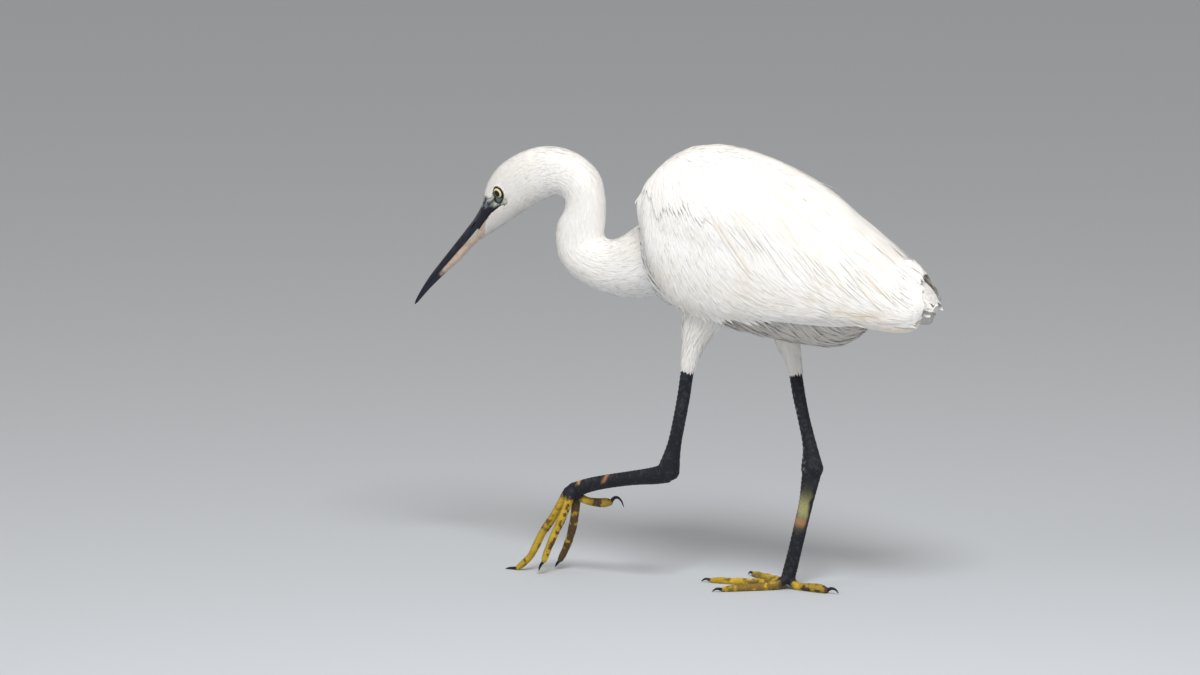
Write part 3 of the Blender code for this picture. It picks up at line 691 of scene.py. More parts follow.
def paint_skin(mesh):
    """Colour and roughness of the skin: feathered, bare face, lids, legs and toes."""
    p = points_of(mesh)
    colour = np.repeat(PLUMAGE_SKIN[None], len(p), 0)
    rough = np.full(len(p), 0.75)
    bare_skin = np.zeros(len(p))

    def lay(mask, tone, gloss=None):
        nonlocal colour, rough
        mask = np.clip(mask, 0, 1)[:, None]
        colour = colour * (1 - mask) + np.asarray(tone) * mask
        if gloss is not None:
            rough = rough * (1 - mask[:, 0]) + gloss * mask[:, 0]

    x, y, z = p.T
    head = (x < -170) & (z > 225)
    side_on = step(1.0, 3.0, np.abs(y)) * head
    jag = (value_noise(p, 0.9, 2) - 0.5) * 1.2
    bare = step(-0.5, 0.5, signed_distance(BARE_FACE, x, z) + jag) * side_on
    mottle = value_noise(p, 2.2, 8) * 0.65 + value_noise(p, 1.0, 9) * 0.35
    lay(bare, LORE, 0.5)
    lay(bare * step(0.50, 0.62, mottle), LORE_DARK)
    lay(bare * step(0.62, 0.78, value_noise(p, 1.6, 12)), LORE_PALE)
    strip = line_distance([(-193.5, 264.8), (-189.5, 266.6), (-183.5, 268.8)], x, z)
    lay(bare * (1 - step(1.3, 2.6, strip)), PALE_GREEN * (0.85 + 0.3 * value_noise(p, 1.3, 4))[:, None])
    below = signed_distance([(-222, 236), (-212.4, 241.6), (-204.9, 250.1), (-198.5, 257.2), (-189.5, 263.0),
                             (-186.0, 262.0), (-190, 255), (-200, 235), (-222, 220)], x, z)
    pale = PALE_HORN * (1 - 0.35 * step(-208, -196, x))[:, None] + np.array([0.30, 0.40, 0.36]) * (0.35 * step(-208, -196, x))[:, None]
    lay(bare * step(-0.2, 0.3, below), pale, 0.42)
    lay(step(-0.35, 0.25, signed_distance(HORN_FACE, x, z)) * side_on, BLACK_HORN, 0.34)
    lay((1 - step(0.25, 0.55, line_distance(MOUTH, x, z))) * bare, (0.006, 0.006, 0.008), 0.4)
    for side in ("left", "right"):
        alpha, beta, r = eye_angles(p, side)
        edge = lid_opening(beta)
        around = (r < 10) & (dot(p - EYES[side], eye_axes(side)[0]) > 0)
        low = low_lid(beta)
        outer = 49.0 + 9.0 * low
        lid = around * (1 - step(outer - 1.0, outer + 3.5, alpha))
        # the black rim round the top and back of the eye: the lid's own dark edge and painted shade of the orbit
        lay(lid, (0.010, 0.010, 0.013), 0.36)
        green = around * step(0.25, 0.6, low) * (1 - step(outer - 8.0, outer - 4.5, alpha)) * step(edge + 1.0, edge + 3.0, alpha)
        lay(green, LID * (0.75 + 0.6 * value_noise(p, 1.0, 6))[:, None], 0.40)
        lay(around * (alpha < edge - 1.0), (0.005, 0.005, 0.006), 0.4)
        bare = np.maximum(bare, lid)
    bare_skin = np.maximum(bare_skin, bare)

    legs = ((z < 166) | ((z < 176) & (np.abs(np.abs(y) - 20) < 8))) & (x > -190)
    for side in ("left", "right"):
        top = THIGH[side][-1]
        own = legs & ((x < 0) if side == "left" else (x > -33) & (y > -8))
        if side == "right":
            own = legs & ~(legs & (x < -40) | (x < 0) & (z > 30)) & (x > -34)
        q = p[own]
        if not len(q):
            continue
        part, where, out = nearest_part(q, side)
        n1, n2, n3 = value_noise(q, 1.6, 21), value_noise(q, 5.0, 22), value_noise(q, 0.9, 23)
        # painted sheen: grey mottle over the black skin of the legs
        tone = LEG_BLACK + (LEG_SHEEN_GREY - LEG_BLACK) * (step(0.52, 0.85, n1) * 0.75 + 0.25 * step(0.5, 0.8, n2))[:, None]
        gloss = 0.44 + 0.22 * n3
        if side == "right":      # greyer and speckled down the front of the shank above the ankle
            speck = step(0.60, 0.8, n1) * step(0.2, 0.7, -out[:, 0]) * (part == 0)
            tone = tone + (np.array([0.16, 0.16, 0.17]) - tone) * (speck * 0.8)[:, None]
            patch = (part == 1) * np.exp(-((where - 28) / 10) ** 2) * step(0.45, 0.8, -out[:, 1] * 0.7 + n2 * 0.5)
            tone = tone + (np.array([0.34, 0.33, 0.15]) - tone) * np.clip(patch, 0, 1)[:, None]
            spot = (part == 1) * np.exp(-((where - 38) / 3.0) ** 2) * step(0.2, 0.7, -out[:, 1])
            tone = tone + (LEG_ORANGE - tone) * np.clip(spot * 0.8, 0, 1)[:, None]
        else:
            skew = where + out[:, 2] * 3.0
            band = (part == 1) * np.exp(-((skew - 52.5) / 1.8) ** 2) * step(-0.2, 0.4, -out[:, 1]) * step(-0.35, 0.35, out[:, 2] + 0.6 * (n1 - 0.5))
            tone = tone + (LEG_ORANGE - tone) * np.clip(band * 0.85, 0, 1)[:, None]
            spot = (part == 1) * np.exp(-((where - 74.5) / 1.6) ** 2) * step(0.35, 0.8, out[:, 2] + 0.4 * (n1 - 0.5))
            tone = tone + (np.array([0.52, 0.30, 0.10]) - tone) * np.clip(spot, 0, 1)[:, None]
        toes = part >= 2
        yellow = TOE_YELLOW * (0.80 + 0.45 * n2)[:, None]
        brown = TOE_BROWN * (0.6 + 0.9 * n3)[:, None]
        # uneven brown bands and blotches: the inner toe is mostly brown, the outer has them down its back edge
        ring = value_noise(np.stack([where, part * 9.0, 0 * where], -1), 3.6, 31)
        blotch = value_noise(q, 2.3, 32)
        mid = 0.58 * ring + 0.42 * blotch
        back = step(-0.1, 0.6, out[:, 0]) if side == "left" else np.full(len(q), 0.5)
        dark = np.select([part == 2, part == 3, part == 4, part == 5],
                         [step(0.34, 0.46, mid) * 0.95, step(0.54, 0.66, mid) * 0.8,
                          step(0.46, 0.58, blotch) * back * 0.95,
                          step(0.46, 0.58, mid) * 0.85 + 0.4 * step(9.0, 13.0, where)])
        if side == "right":
            dark = dark * np.where(part == 2, 0.7, 1.0)
        # painted shade: the middle and outer toes are painted darker olive on the side facing forwards, away from the
        # light
        olive_shade = step(0.1, 0.7, -out[:, 0]) * (part >= 3) * (part <= 4) * 0.45
        yellow = yellow + (np.array([0.20, 0.17, 0.045]) - yellow) * olive_shade[:, None]
        toe_tone = yellow + (brown - yellow) * np.clip(dark, 0, 1)[:, None]
        root = 1 - step(2.5, 7.5, where + 4.0 * (n1 - 0.5))
        toe_tone = toe_tone + (LEG_BLACK * 1.6 - toe_tone) * np.clip(root, 0, 1)[:, None]
        tone = np.where(toes[:, None], toe_tone, tone)
        colour[own] = tone
        rough[own] = gloss
        bare_skin[own] = 1.0
    attribute(mesh, "paint", colour, "FLOAT_COLOR")
    attribute(mesh, "rough", rough)
    attribute(mesh, "bare", bare_skin)


def build_skin():
    base = piece("skin", head_and_neck_skin())
    others = [piece("skin_part_%d" % i, m) for i, m in enumerate(
        [trunk_skin(), wing_skin("left"), wing_skin("right"), thigh_skin("left"), thigh_skin("right"),
         leg_skin("left"), leg_skin("right")])]
    for other in others:
        join = base.modifiers.new(other.name, "BOOLEAN")
        join.operation, join.solver, join.object = "UNION", "MANIFOLD", other
    mesh = evaluated(base, "skin")
    for other in others:
        bpy.data.objects.remove(other)
    mesh.shade_smooth()
    paint_skin(mesh)
    skin = piece("skin", mesh)
    return skin


# ---- materials -----------------------------------------------------------------------
def new_material(name):
    made = bpy.data.materials.new(name)
    made.use_nodes = True
    tree = made.node_tree
    return made, tree, tree.nodes["Principled BSDF"]


def add(tree, kind, **settings):
    node = tree.nodes.new(kind)
    inputs = settings.pop("inputs", {})
    for key, value in settings.items():
        setattr(node, key, value)
    for key, value in inputs.items():
        node.inputs[key].default_value = value
    return node


def painted_material(name, scale, bump, distance, cell=0.0, variation=0.25):
    """Colour and roughness from the piece's own paint, broken up by fine noise, with small relief."""
    made, tree, shader = new_material(name)
    link = tree.links.new
    paint = add(tree, "ShaderNodeAttribute", attribute_name="paint")
    rough = add(tree, "ShaderNodeAttribute", attribute_name="rough")
    where = add(tree, "ShaderNodeTexCoord")
    fine = add(tree, "ShaderNodeTexNoise", inputs={"Scale": scale, "Detail": 5.0, "Roughness": 0.6})
    link(where.outputs["Object"], fine.inputs["Vector"])
    vary = add(tree, "ShaderNodeMapRange", inputs={"From Min": 0.25, "From Max": 0.75, "To Min": 1 - variation, "To Max": 1 + variation})
    link(fine.outputs["Fac"], vary.inputs["Value"])
    scaled = add(tree, "ShaderNodeVectorMath", operation="SCALE")
    link(paint.outputs["Color"], scaled.inputs[0])
    link(vary.outputs["Result"], scaled.inputs["Scale"])
    link(scaled.outputs["Vector"], shader.inputs["Base Color"])
    shader.inputs["Specular IOR Level"].default_value = 0.26
    gloss = add(tree, "ShaderNodeMath", operation="MULTIPLY_ADD", inputs={1: 0.22, 2: -0.11})
    link(fine.outputs["Fac"], gloss.inputs[0])
    total = add(tree, "ShaderNodeMath", operation="ADD")
    link(gloss.outputs[0], total.inputs[0])
    link(rough.outputs["Fac"], total.inputs[1])
    link(total.outputs[0], shader.inputs["Roughness"])
    relief = add(tree, "ShaderNodeBump", inputs={"Strength": bump, "Distance": distance})
    height = fine.outputs["Fac"]
    if cell:
        scales = add(tree, "ShaderNodeTexVoronoi", feature="DISTANCE_TO_EDGE", inputs={"Scale": cell})
        link(where.outputs["Object"], scales.inputs["Vector"])
        edge = add(tree, "ShaderNodeMapRange", inputs={"From Min": 0.0, "From Max": 0.22})
        link(scales.outputs["Distance"], edge.inputs["Value"])
        both = add(tree, "ShaderNodeMath", operation="MULTIPLY_ADD", inputs={1: 0.35})
        link(fine.outputs["Fac"], both.inputs[0])
        link(edge.outputs["Result"], both.inputs[2])
        height = both.outputs[0]
    link(height, relief.inputs["Height"])
    link(relief.outputs["Normal"], shader.inputs["Normal"])
    return made


def plumage_material(name, barb=0.35):
    """White mixed with cream by the warm attribute and darkened by tint: painted shade towards the feathers' roots, on
    the belly, throat and under-tail and on the primaries' tips, and cream streaks of the plumage's own; with the
    slanting barbs of each vane.
    """
    made, tree, shader = new_material(name)
    link = tree.links.new
    warm = add(tree, "ShaderNodeAttribute", attribute_name="warm")
    tint = add(tree, "ShaderNodeAttribute", attribute_name="tint")
    where = add(tree, "ShaderNodeTexCoord")
    cloud = add(tree, "ShaderNodeTexNoise", inputs={"Scale": 55.0, "Detail": 4.0, "Roughness": 0.55})
    link(where.outputs["Object"], cloud.inputs["Vector"])
    shift = add(tree, "ShaderNodeMapRange", inputs={"From Min": 0.3, "From Max": 0.7, "To Min": -0.10, "To Max": 0.10})
    link(cloud.outputs["Fac"], shift.inputs["Value"])
    amount = add(tree, "ShaderNodeMath", operation="ADD", use_clamp=True)
    link(warm.outputs["Fac"], amount.inputs[0])
    link(shift.outputs["Result"], amount.inputs[1])
    mix = add(tree, "ShaderNodeMix", data_type="RGBA")
    mix.inputs["A"].default_value = (*WHITE, 1)
    mix.inputs["B"].default_value = (*CREAM, 1)
    link(amount.outputs[0], mix.inputs["Factor"])
    scaled = add(tree, "ShaderNodeVectorMath", operation="SCALE")
    link(mix.outputs["Result"], scaled.inputs[0])
    link(tint.outputs["Fac"], scaled.inputs["Scale"])
    link(scaled.outputs["Vector"], shader.inputs["Base Color"])
    vane = add(tree, "ShaderNodeUVMap", uv_map="vane")
    split = add(tree, "ShaderNodeSeparateXYZ")
    link(vane.outputs["UV"], split.inputs[0])
    off = add(tree, "ShaderNodeMath", operation="ABSOLUTE")
    link(split.outputs["X"], off.inputs[0])
    slant = add(tree, "ShaderNodeMath", operation="MULTIPLY_ADD", inputs={1: -1.3})
    link(off.outputs[0], slant.inputs[0])
    link(split.outputs["Y"], slant.inputs[2])
    lines = add(tree, "ShaderNodeCombineXYZ")
    link(slant.outputs[0], lines.inputs["X"])
    narrow = add(tree, "ShaderNodeMath", operation="MULTIPLY", inputs={1: 0.12})
    link(split.outputs["X"], narrow.inputs[0])
    link(narrow.outputs[0], lines.inputs["Y"])
    barbs = add(tree, "ShaderNodeTexNoise", inputs={"Scale": 1.9, "Detail": 3.0, "Roughness": 0.7})
    link(lines.outputs[0], barbs.inputs["Vector"])
    relief = add(tree, "ShaderNodeBump", inputs={"Strength": barb, "Distance": 0.00012})
    link(barbs.outputs["Fac"], relief.inputs["Height"])
    link(relief.outputs["Normal"], shader.inputs["Normal"])
    gloss = add(tree, "ShaderNodeMapRange", inputs={"From Min": 0.3, "From Max": 0.7, "To Min": 0.50, "To Max": 0.66})
    link(barbs.outputs["Fac"], gloss.inputs["Value"])
    link(gloss.outputs["Result"], shader.inputs["Roughness"])
    shader.inputs["Sheen Weight"].default_value = 0.12
    shader.inputs["Sheen Roughness"].default_value = 0.5
    shader.inputs["Specular IOR Level"].default_value = 0.35
    return made


# ---- feathers ------------------------------------------------------------------------
class Coat:
    """Gathers feathers and writes them as pieces of under 200,000 triangles."""
    LIMIT = 190_000

    def __init__(self, name, material):
        self.name, self.material = name, material
        self.points, self.faces3, self.faces4, self.normals = [], [], [], []
        self.under3, self.under4 = [], []
        self.uv, self.vane, self.warm, self.tint = [], [], [], []
        self.count, self.tris, self.made = 0, 0, []

    def take(self, points, normals, quads, tris, uv, vane, warm, tint, under4=None, under3=None):
        """under4 and under3 are -1 for faces on a feather's underside, which look the other way, and else 1."""
        under4 = np.ones(len(quads)) if under4 is None else under4
        under3 = np.ones(len(tris)) if under3 is None else under3
        m, per = points.shape[:2]
        room = 2 * len(quads) + len(tris)
        start = 0
        while start < m:
            fit = max(1, min(m - start, (self.LIMIT - self.tris) // room))
            if self.tris and self.tris + fit * room > self.LIMIT:
                self.write()
                continue
            stop = start + fit
            base = (np.arange(stop - start) * per + self.count)[:, None, None]
            self.faces4.append((quads[None] + base).reshape(-1, 4))
            self.faces3.append((tris[None] + base).reshape(-1, 3))
            self.under4.append(np.tile(under4, stop - start))
            self.under3.append(np.tile(under3, stop - start))
            for store, values in ((self.points, points), (self.normals, normals), (self.uv, uv), (self.vane, vane)):
                store.append(values[start:stop].reshape(-1, values.shape[-1]))
            self.warm.append(warm[start:stop].ravel())
            self.tint.append(tint[start:stop].ravel())
            self.count += (stop - start) * per
            self.tris += (stop - start) * room
            start = stop
            if start < m:
                self.write()

    def write(self):
        if not self.tris:
            return
        name = "%s_%d" % (self.name, len(self.made) + 1)
        points = np.concatenate(self.points)
        mesh = mesh_of(name, points, [np.concatenate(self.faces4), np.concatenate(self.faces3)])
        corner = np.empty(len(mesh.loops), np.int32)
        mesh.loops.foreach_get("vertex_index", corner)
        for key, values in (("OFBake", self.uv), ("vane", self.vane)):
            layer = mesh.uv_layers.new(name=key)
            layer.data.foreach_set("uv", np.concatenate(values)[corner].astype(np.float32).ravel())
        attribute(mesh, "warm", np.concatenate(self.warm))
        attribute(mesh, "tint", np.concatenate(self.tint))
        look = np.concatenate([np.repeat(np.concatenate(self.under4), 4), np.repeat(np.concatenate(self.under3), 3)])
        mesh.normals_split_custom_set((np.concatenate(self.normals)[corner] * look[:, None]).astype(np.float32))
        mesh.materials.append(self.material)
        obj = piece(name, mesh)
        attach(obj, "root")
        self.made.append(obj)
        self.points, self.faces3, self.faces4, self.normals = [], [], [], []
        self.uv, self.vane, self.warm, self.tint = [], [], [], []
        self.under3, self.under4 = [], []
        self.count, self.tris = 0, 0


def strands(coat, P, N, width, profile, uv_root, warm, tint, ridge=0.07, droop=0.03, soft=0.8):
    """Slender feathers: P and N are (feather, station, 3); each is a closed blade with a low keel on top."""
    m, k1 = P.shape[:2]
    k = k1 - 1
    T = unit(np.gradient(P, axis=1))
    side = unit(np.cross(T, N))
    own = np.cross(side, T)
    half = (0.5 * width[:, None] * profile)[..., None]
    left, mid, right = P + side * half - N * half * droop, P + N * half * ridge, P - side * half - N * half * droop
    body = np.stack([left[:, :k], mid[:, :k], right[:, :k]], 2).reshape(m, 3 * k, 3)
    points = np.concatenate([body, P[:, k:]], 1)
    up = unit(N * soft + own * (1 - soft))
    nl, nr = unit(up + side * 0.22), unit(up - side * 0.22)
    normals = np.concatenate([np.stack([nl[:, :k], up[:, :k], nr[:, :k]], 2).reshape(m, 3 * k, 3), up[:, k:]], 1)
    i = np.arange(k - 1)[:, None] * 3
    a, b, c, a2, b2, c2 = (i + j for j in range(6))
    quads = np.concatenate([np.concatenate([a, a2, b2, b], 1), np.concatenate([b, b2, c2, c], 1),
                            np.concatenate([c, c2, a2, a], 1)])
    e = 3 * (k - 1)
    t = 3 * k
    tris = np.array([(e, t, e + 1), (e + 1, t, e + 2), (e + 2, t, e), (0, 1, 2)])
    s = np.tile([0.0, 0.5, 1.0], k)
    s = np.append(s, 0.5)
    along = np.append(np.repeat(np.arange(k) / k, 3), 1.0)
    uv = uv_root[:, None] + 0.003 * (np.stack([s, along], -1) - 0.5)[None]
    length = np.linalg.norm(np.diff(P, axis=1), axis=2).sum(1)
    vane = np.stack([(s[None] - 0.5) * width[:, None], along[None] * length[:, None]], -1)
    vane = vane + (rng.random((m, 1, 1)) * 40.0) * np.array([0.0, 1.0])
    shade = np.concatenate([np.repeat(warm[:, :k], 3, 1), warm[:, k:]], 1)
    coat.take(points, normals, quads, tris, uv, vane, shade, np.repeat(tint[:, None], 3 * k + 1, 1),
              np.repeat([1.0, 1.0, -1.0], k - 1), np.array([1.0, 1.0, -1.0, 1.0]))


def march(surface, u, v, heading, length, steps, flip=False, last=1e9, sides=(-1e9, 1e9)):
    """Walks each feather's line over the surface, and straight on beyond its end; returns points, normals and (u, v)."""
    P, N, UV = [], [], []
    each = (length / steps)
    off = np.zeros((len(u), 1), bool)
    for i in range(steps + 1):
        p, pu, pv, n = frame_at(surface, u, v)
        if i:
            off = off | ((u > last) | (v < sides[0]) | (v > sides[1]))[:, None]
            p = np.where(off, P[-1] + d * each[:, None], p)
            n = np.where(off, N[-1], n)
            d_old = d
        P.append(p)
        N.append(n)
        UV.append(np.stack([u, v], -1))
        d = heading(p, n, u, v, pu, pv, i / steps)
        d = unit(d - n * dot(d, n)[:, None])
        if i:
            d = np.where(off, d_old, d)
        a, b, c = dot(pu, pu), dot(pu, pv), dot(pv, pv)
        e, f = dot(pu, d), dot(pv, d)
        det = np.maximum(a * c - b * b, 1e-6)
        u = u + (c * e - b * f) / det * each
        v = v + (a * f - b * e) / det * each
    P, N, UV = np.stack(P, 1), np.stack(N, 1), np.stack(UV, 1)
    if flip:
        P, N = P * (1, -1, 1), N * (1, -1, 1)
    return P, N, UV


def turned(d, n, angle):
    d = unit(d)
    return d * np.cos(angle)[:, None] + np.cross(n, d) * np.sin(angle)[:, None]


def backwards(jitter, curl):
    """Feathers that run the way u grows."""
    def heading(p, n, u, v, pu, pv, t):
        return turned(pu, n, jitter + curl * t)
    return heading


def scatter(surface, us, vs, spacing, keep=None, tries=4.0):
    """Roots spread evenly over a patch of the surface. spacing(u, v, p) is the distance between neighbours in mm."""
    gu, gv = np.meshgrid(np.linspace(*us, 60), np.linspace(*vs, 60), indexing="ij")
    _, pu, pv, _ = frame_at(surface, gu, gv)
    jac = np.linalg.norm(np.cross(pu, pv), axis=-1)
    p = surface(gu, gv)
    gap = spacing(gu, gv, p)
    weight = jac / gap**2
    cell = (us[1] - us[0]) * (vs[1] - vs[0])
    total = weight.mean() * cell
    n = int(total * tries)
    pick = rng.choice(gu.size, n, p=(weight / weight.sum()).ravel())
    u = gu.ravel()[pick] + (rng.random(n) - 0.5) * (us[1] - us[0]) / 59
    v = gv.ravel()[pick] + (rng.random(n) - 0.5) * (vs[1] - vs[0]) / 59
    u, v = np.clip(u, *us), np.clip(v, *vs)
    p = surface(u, v)
    if keep is not None:
        good = keep(u, v, p)
        u, v, p = u[good], v[good], p[good]
    gap = spacing(u, v, p)
    big = float(gap.max())
    grid, chosen = {}, []
    keys = np.floor(p / big).astype(int)
    near = [(a, b, c) for a in (-1, 0, 1) for b in (-1, 0, 1) for c in (-1, 0, 1)]
    plist, glist, klist = p.tolist(), (gap**2 * 0.62).tolist(), keys.tolist()
    for i in range(len(plist)):
        x, y, z = plist[i]
        limit = glist[i]
        kx, ky, kz = klist[i]
        clear = True
        for a, b, c in near:
            for j in grid.get((kx + a, ky + b, kz + c), ()):
                q = plist[j]
                if (x - q[0]) ** 2 + (y - q[1]) ** 2 + (z - q[2]) ** 2 < limit:
                    clear = False
                    break
            if not clear:
                break
        if clear:
            grid.setdefault((kx, ky, kz), []).append(i)
            chosen.append(i)
    return u[chosen], v[chosen], p[chosen]


COARSE = 1.0


def slender(k, peak=0.35, root=0.45):
    """Half widths along a feather: narrow root, widest a third of the way, tapering to a point."""
    t = np.arange(k + 1) / k
    return np.interp(t, [0, peak, 0.75, 1.0], [root, 1.0, 0.60, 0.0])


def tract(coat, surface, us, vs, spacing, length, width, depth, heading, keep=None, steps=4, rise=0.3, warm=None,
          lift=0.0, flip=False, patch=None, tip_height=0.0, curl=0.10, jitter=0.16, ridge=0.09, soft=0.6, loose=0.0,
          skin_tree=None, last=1e9, sides=(-1e9, 1e9), shape=None, down=True, tone=None):
    """A tract of slender feathers on one surface. Each function is of (u, v, p) at the root.
    Under them lies a layer of broader down, so that no gap opens between them."""
    if down:
        tract(coat, surface, us, vs, lambda a, b, c: spacing(a, b, c) * 1.30, length,
              lambda a, b, c: spacing(a, b, c) * 1.55, depth, heading, keep, 3, rise, warm, lift, flip, patch,
              (lambda a, b, c: tip_height(a, b, c) - 0.24) if callable(tip_height) else tip_height - 0.24, curl, jitter, ridge, soft, 0.0, skin_tree, last, sides, shape, False, tone)
    u, v, p = scatter(surface, us, vs, lambda a, b, c: spacing(a, b, c) * COARSE, keep)
    if not len(u):
        return
    m = len(u)
    if skin_tree is not None:
        good = skin_tree(p, frame_at(surface, u, v)[3])
        u, v, p = u[good], v[good], p[good]
        m = len(u)
    size = length(u, v, p) * (0.85 + 0.3 * rng.random(m))
    wide = width(u, v, p) * (0.8 + 0.4 * rng.random(m)) * 1.5
    deep = depth(u, v, p)
    turn = (rng.random(m) - 0.5) * 2 * jitter
    bend = (rng.random(m) - 0.5) * 2 * curl
    P, N, UV = march(surface, u, v, heading(turn, bend), size, steps, flip, last, sides)
    t = np.arange(steps + 1) / steps
    stack = (rng.random(m) - 0.5) * 0.06 + (tip_height(u, v, p) if callable(tip_height) else tip_height) + lift * rng.random(m)
    shell = np.minimum(0.32, 0.4 * deep + 0.08)
    height = (stack + 0.02)[:, None] - shell[:, None] * (1 - t)[None] - (deep + 0.35 + stack - shell)[:, None] * np.exp(-t / 0.07)[None]
    if loose:
        height = height + (loose * (rng.random(m) ** 3))[:, None] * (t**2)[None]
    P = P + N * height[..., None]
    if shape is not None:
        P = shape(P, t)
    area = patch or (us, vs)
    root = np.stack([0.02 + 0.96 * (u - area[0][0]) / (area[0][1] - area[0][0]),
                     0.02 + 0.96 * (v - area[1][0]) / (area[1][1] - area[1][0])], -1)
    w = (warm(u, v, p) if warm is not None else np.zeros(m))
    # painted shade: each feather is creamier towards its root, where it lies covered; tone, where given, darkens
    # feathers that lie in shade
    shade = np.clip(w[:, None] + 0.16 * (1 - t)[None] + (rng.random(m) - 0.5)[:, None] * 0.10, 0, 1)
    tint = (0.965 + 0.05 * rng.random(m)) * (tone(u, v, p) if tone is not None else 1.0)
    strands(coat, P, N, wide, np.repeat(slender(steps)[None], m, 0), root, shade, tint, ridge=ridge, soft=soft)


# ---- bill, eyes and claws ------------------------------------------------------------
def bill_mesh(upper):
    """Half the bill: rounded back, flat sides, a groove from the nostril on, and a cutting edge."""
    u = np.concatenate([np.linspace(-0.42, 1.3, 90), np.linspace(1.3, 6.0, 130)[1:]])
    r = spline(BILL, u)
    outer = r[:, 0:2] if upper else r[:, 2:4]
    edge, w = r[:, 4:6], r[:, 6] * (1.0 if upper else 0.955)
    taper = np.clip((6.0 - u) / 0.32, 0.03, 1) ** 0.6
    reach, w = (outer - edge) * taper[:, None], w * taper
    high = np.linalg.norm(reach, axis=1)
    edge = edge + reach / high[:, None] * (0.0 if upper else 0.10)
    theta = np.linspace(0, np.pi, 57)
    h = np.sin(theta) ** 0.85
    uu, hh = np.meshgrid(u, h, indexing="ij")
    x = edge[:, :1] + reach[:, :1] * hh
    z = edge[:, 1:] + reach[:, 1:] * hh
    y = -w[:, None] * np.cos(theta)[None]
    sides = np.abs(np.cos(theta))[None]
    if upper:
        groove = 0.34 * np.exp(-((hh - 0.50) / 0.085) ** 2) * step(-0.3, 0.4, uu) * (1 - step(2.2, 4.0, uu)) * step(0.2, 0.6, sides)
        slit = ((uu - 0.66) / 0.31) ** 2 + ((hh - 0.50) / 0.062) ** 2
        dip = groove + 0.95 * np.exp(-slit ** 2)
        lip = 0.16 * np.exp(-(((uu - 0.66) / 0.44) ** 2 + ((hh - 0.60) / 0.09) ** 2) ** 2)
        edge_roll = 0.12 * np.exp(-((hh - 0.05) / 0.05) ** 2)
        y = y * (1 - (dip - lip - edge_roll) / np.maximum(w, 1.2)[:, None])
    else:
        groove = 0.16 * np.exp(-((hh - 0.42) / 0.10) ** 2) * step(0.2, 0.9, uu) * (1 - step(3.0, 4.6, uu)) * step(0.2, 0.6, sides)
        y = y * (1 - groove / np.maximum(w, 1.2)[:, None])
    flat = np.stack([x, y, z], -1)
    flutes = (value_noise(np.stack([uu.ravel() * 0.5, np.cos(theta)[None].repeat(len(u), 0).ravel() * 7, hh.ravel() * 5], -1), 1.0, 3) - 0.5) * 0.10
    flat[..., 1] *= 1 + flutes.reshape(uu.shape) * 0.25
    inner = np.linspace(0, np.pi, 13)[1:-1]
    palate = edge[:, None] + reach[:, None] * (0.30 * np.sin(inner) ** 0.8)[None, :, None]
    palate = np.stack([palate[..., 0], w[:, None] * 0.93 * np.cos(inner)[None], palate[..., 1]], -1)
    grid = np.concatenate([flat, palate], 1)
    mesh = tube_mesh("bill_upper_horn" if upper else "bill_lower_horn", grid)
    p = points_of(mesh)
    n1, n2 = value_noise(p, 2.6, 31), value_noise(p * (1, 1, 1), 0.9, 32)
    hfrac = np.concatenate([np.concatenate([hh, np.zeros((len(u), len(inner)))], 1).ravel(), [0, 0]])
    ufrac = np.concatenate([np.repeat(u, len(theta) + len(inner)), [u[0], u[-1]]])
    if upper:
        # painted highlights: bluish-grey lengthwise streaks on the black horn, and a lighter grey over the base of the
        # culmen
        colour = BLACK_HORN + np.array([0.013, 0.015, 0.025]) * (0.35 + 0.9 * step(0.45, 0.8, n1) * step(0.2, 0.5, hfrac))[:, None]
        base = (1 - step(0.2, 1.6, ufrac)) * step(0.35, 0.75, hfrac)
        colour = colour + (np.array([0.075, 0.085, 0.10]) - colour) * (base * (0.35 + 0.5 * n1))[:, None]
        # painted shade: the nostril slit is painted near black
        dark = np.exp(-(((ufrac - 0.66) / 0.34) ** 2 + ((hfrac - 0.50) / 0.07) ** 2) ** 2)
        colour = colour * (1 - 0.9 * dark)[:, None]
        red = np.exp(-((p[:, 0] + 222.0) / 1.6) ** 2) * (1 - step(0.10, 0.2, hfrac))
        colour = colour + (np.array([0.16, 0.045, 0.04]) - colour) * (0.35 * red)[:, None]
        rough = 0.30 + 0.14 * n2
    else:
        pale = PALE_HORN * (0.82 + 0.36 * n1)[:, None]
        pale = pale + (np.array([0.60, 0.50, 0.42]) - pale) * (0.5 * step(0.55, 0.9, hfrac))[:, None]
        green = (1 - step(0.6, 1.3, ufrac)) * (1 - step(0.22, 0.42, hfrac))
        pale = pale + (np.array([0.36, 0.47, 0.44]) - pale) * (0.8 * green)[:, None]
        edge_dark = (1 - step(0.06, 0.20, hfrac - 0.05 * step(1.5, 3.0, ufrac)))
        pale = pale + (np.array([0.05, 0.045, 0.05]) - pale) * (0.85 * edge_dark * step(0.8, 1.6, ufrac))[:, None]
        tip = 1 - step(-245.0, -236.5, p[:, 0] + 4.0 * (n1 - 0.5) - 3.0 * (hfrac - 0.5))
        colour = pale + (BLACK_HORN * 1.6 - pale) * tip[:, None]
        rough = 0.36 + 0.16 * n2
    attribute(mesh, "paint", colour, "FLOAT_COLOR")
    attribute(mesh, "rough", rough)
    return mesh


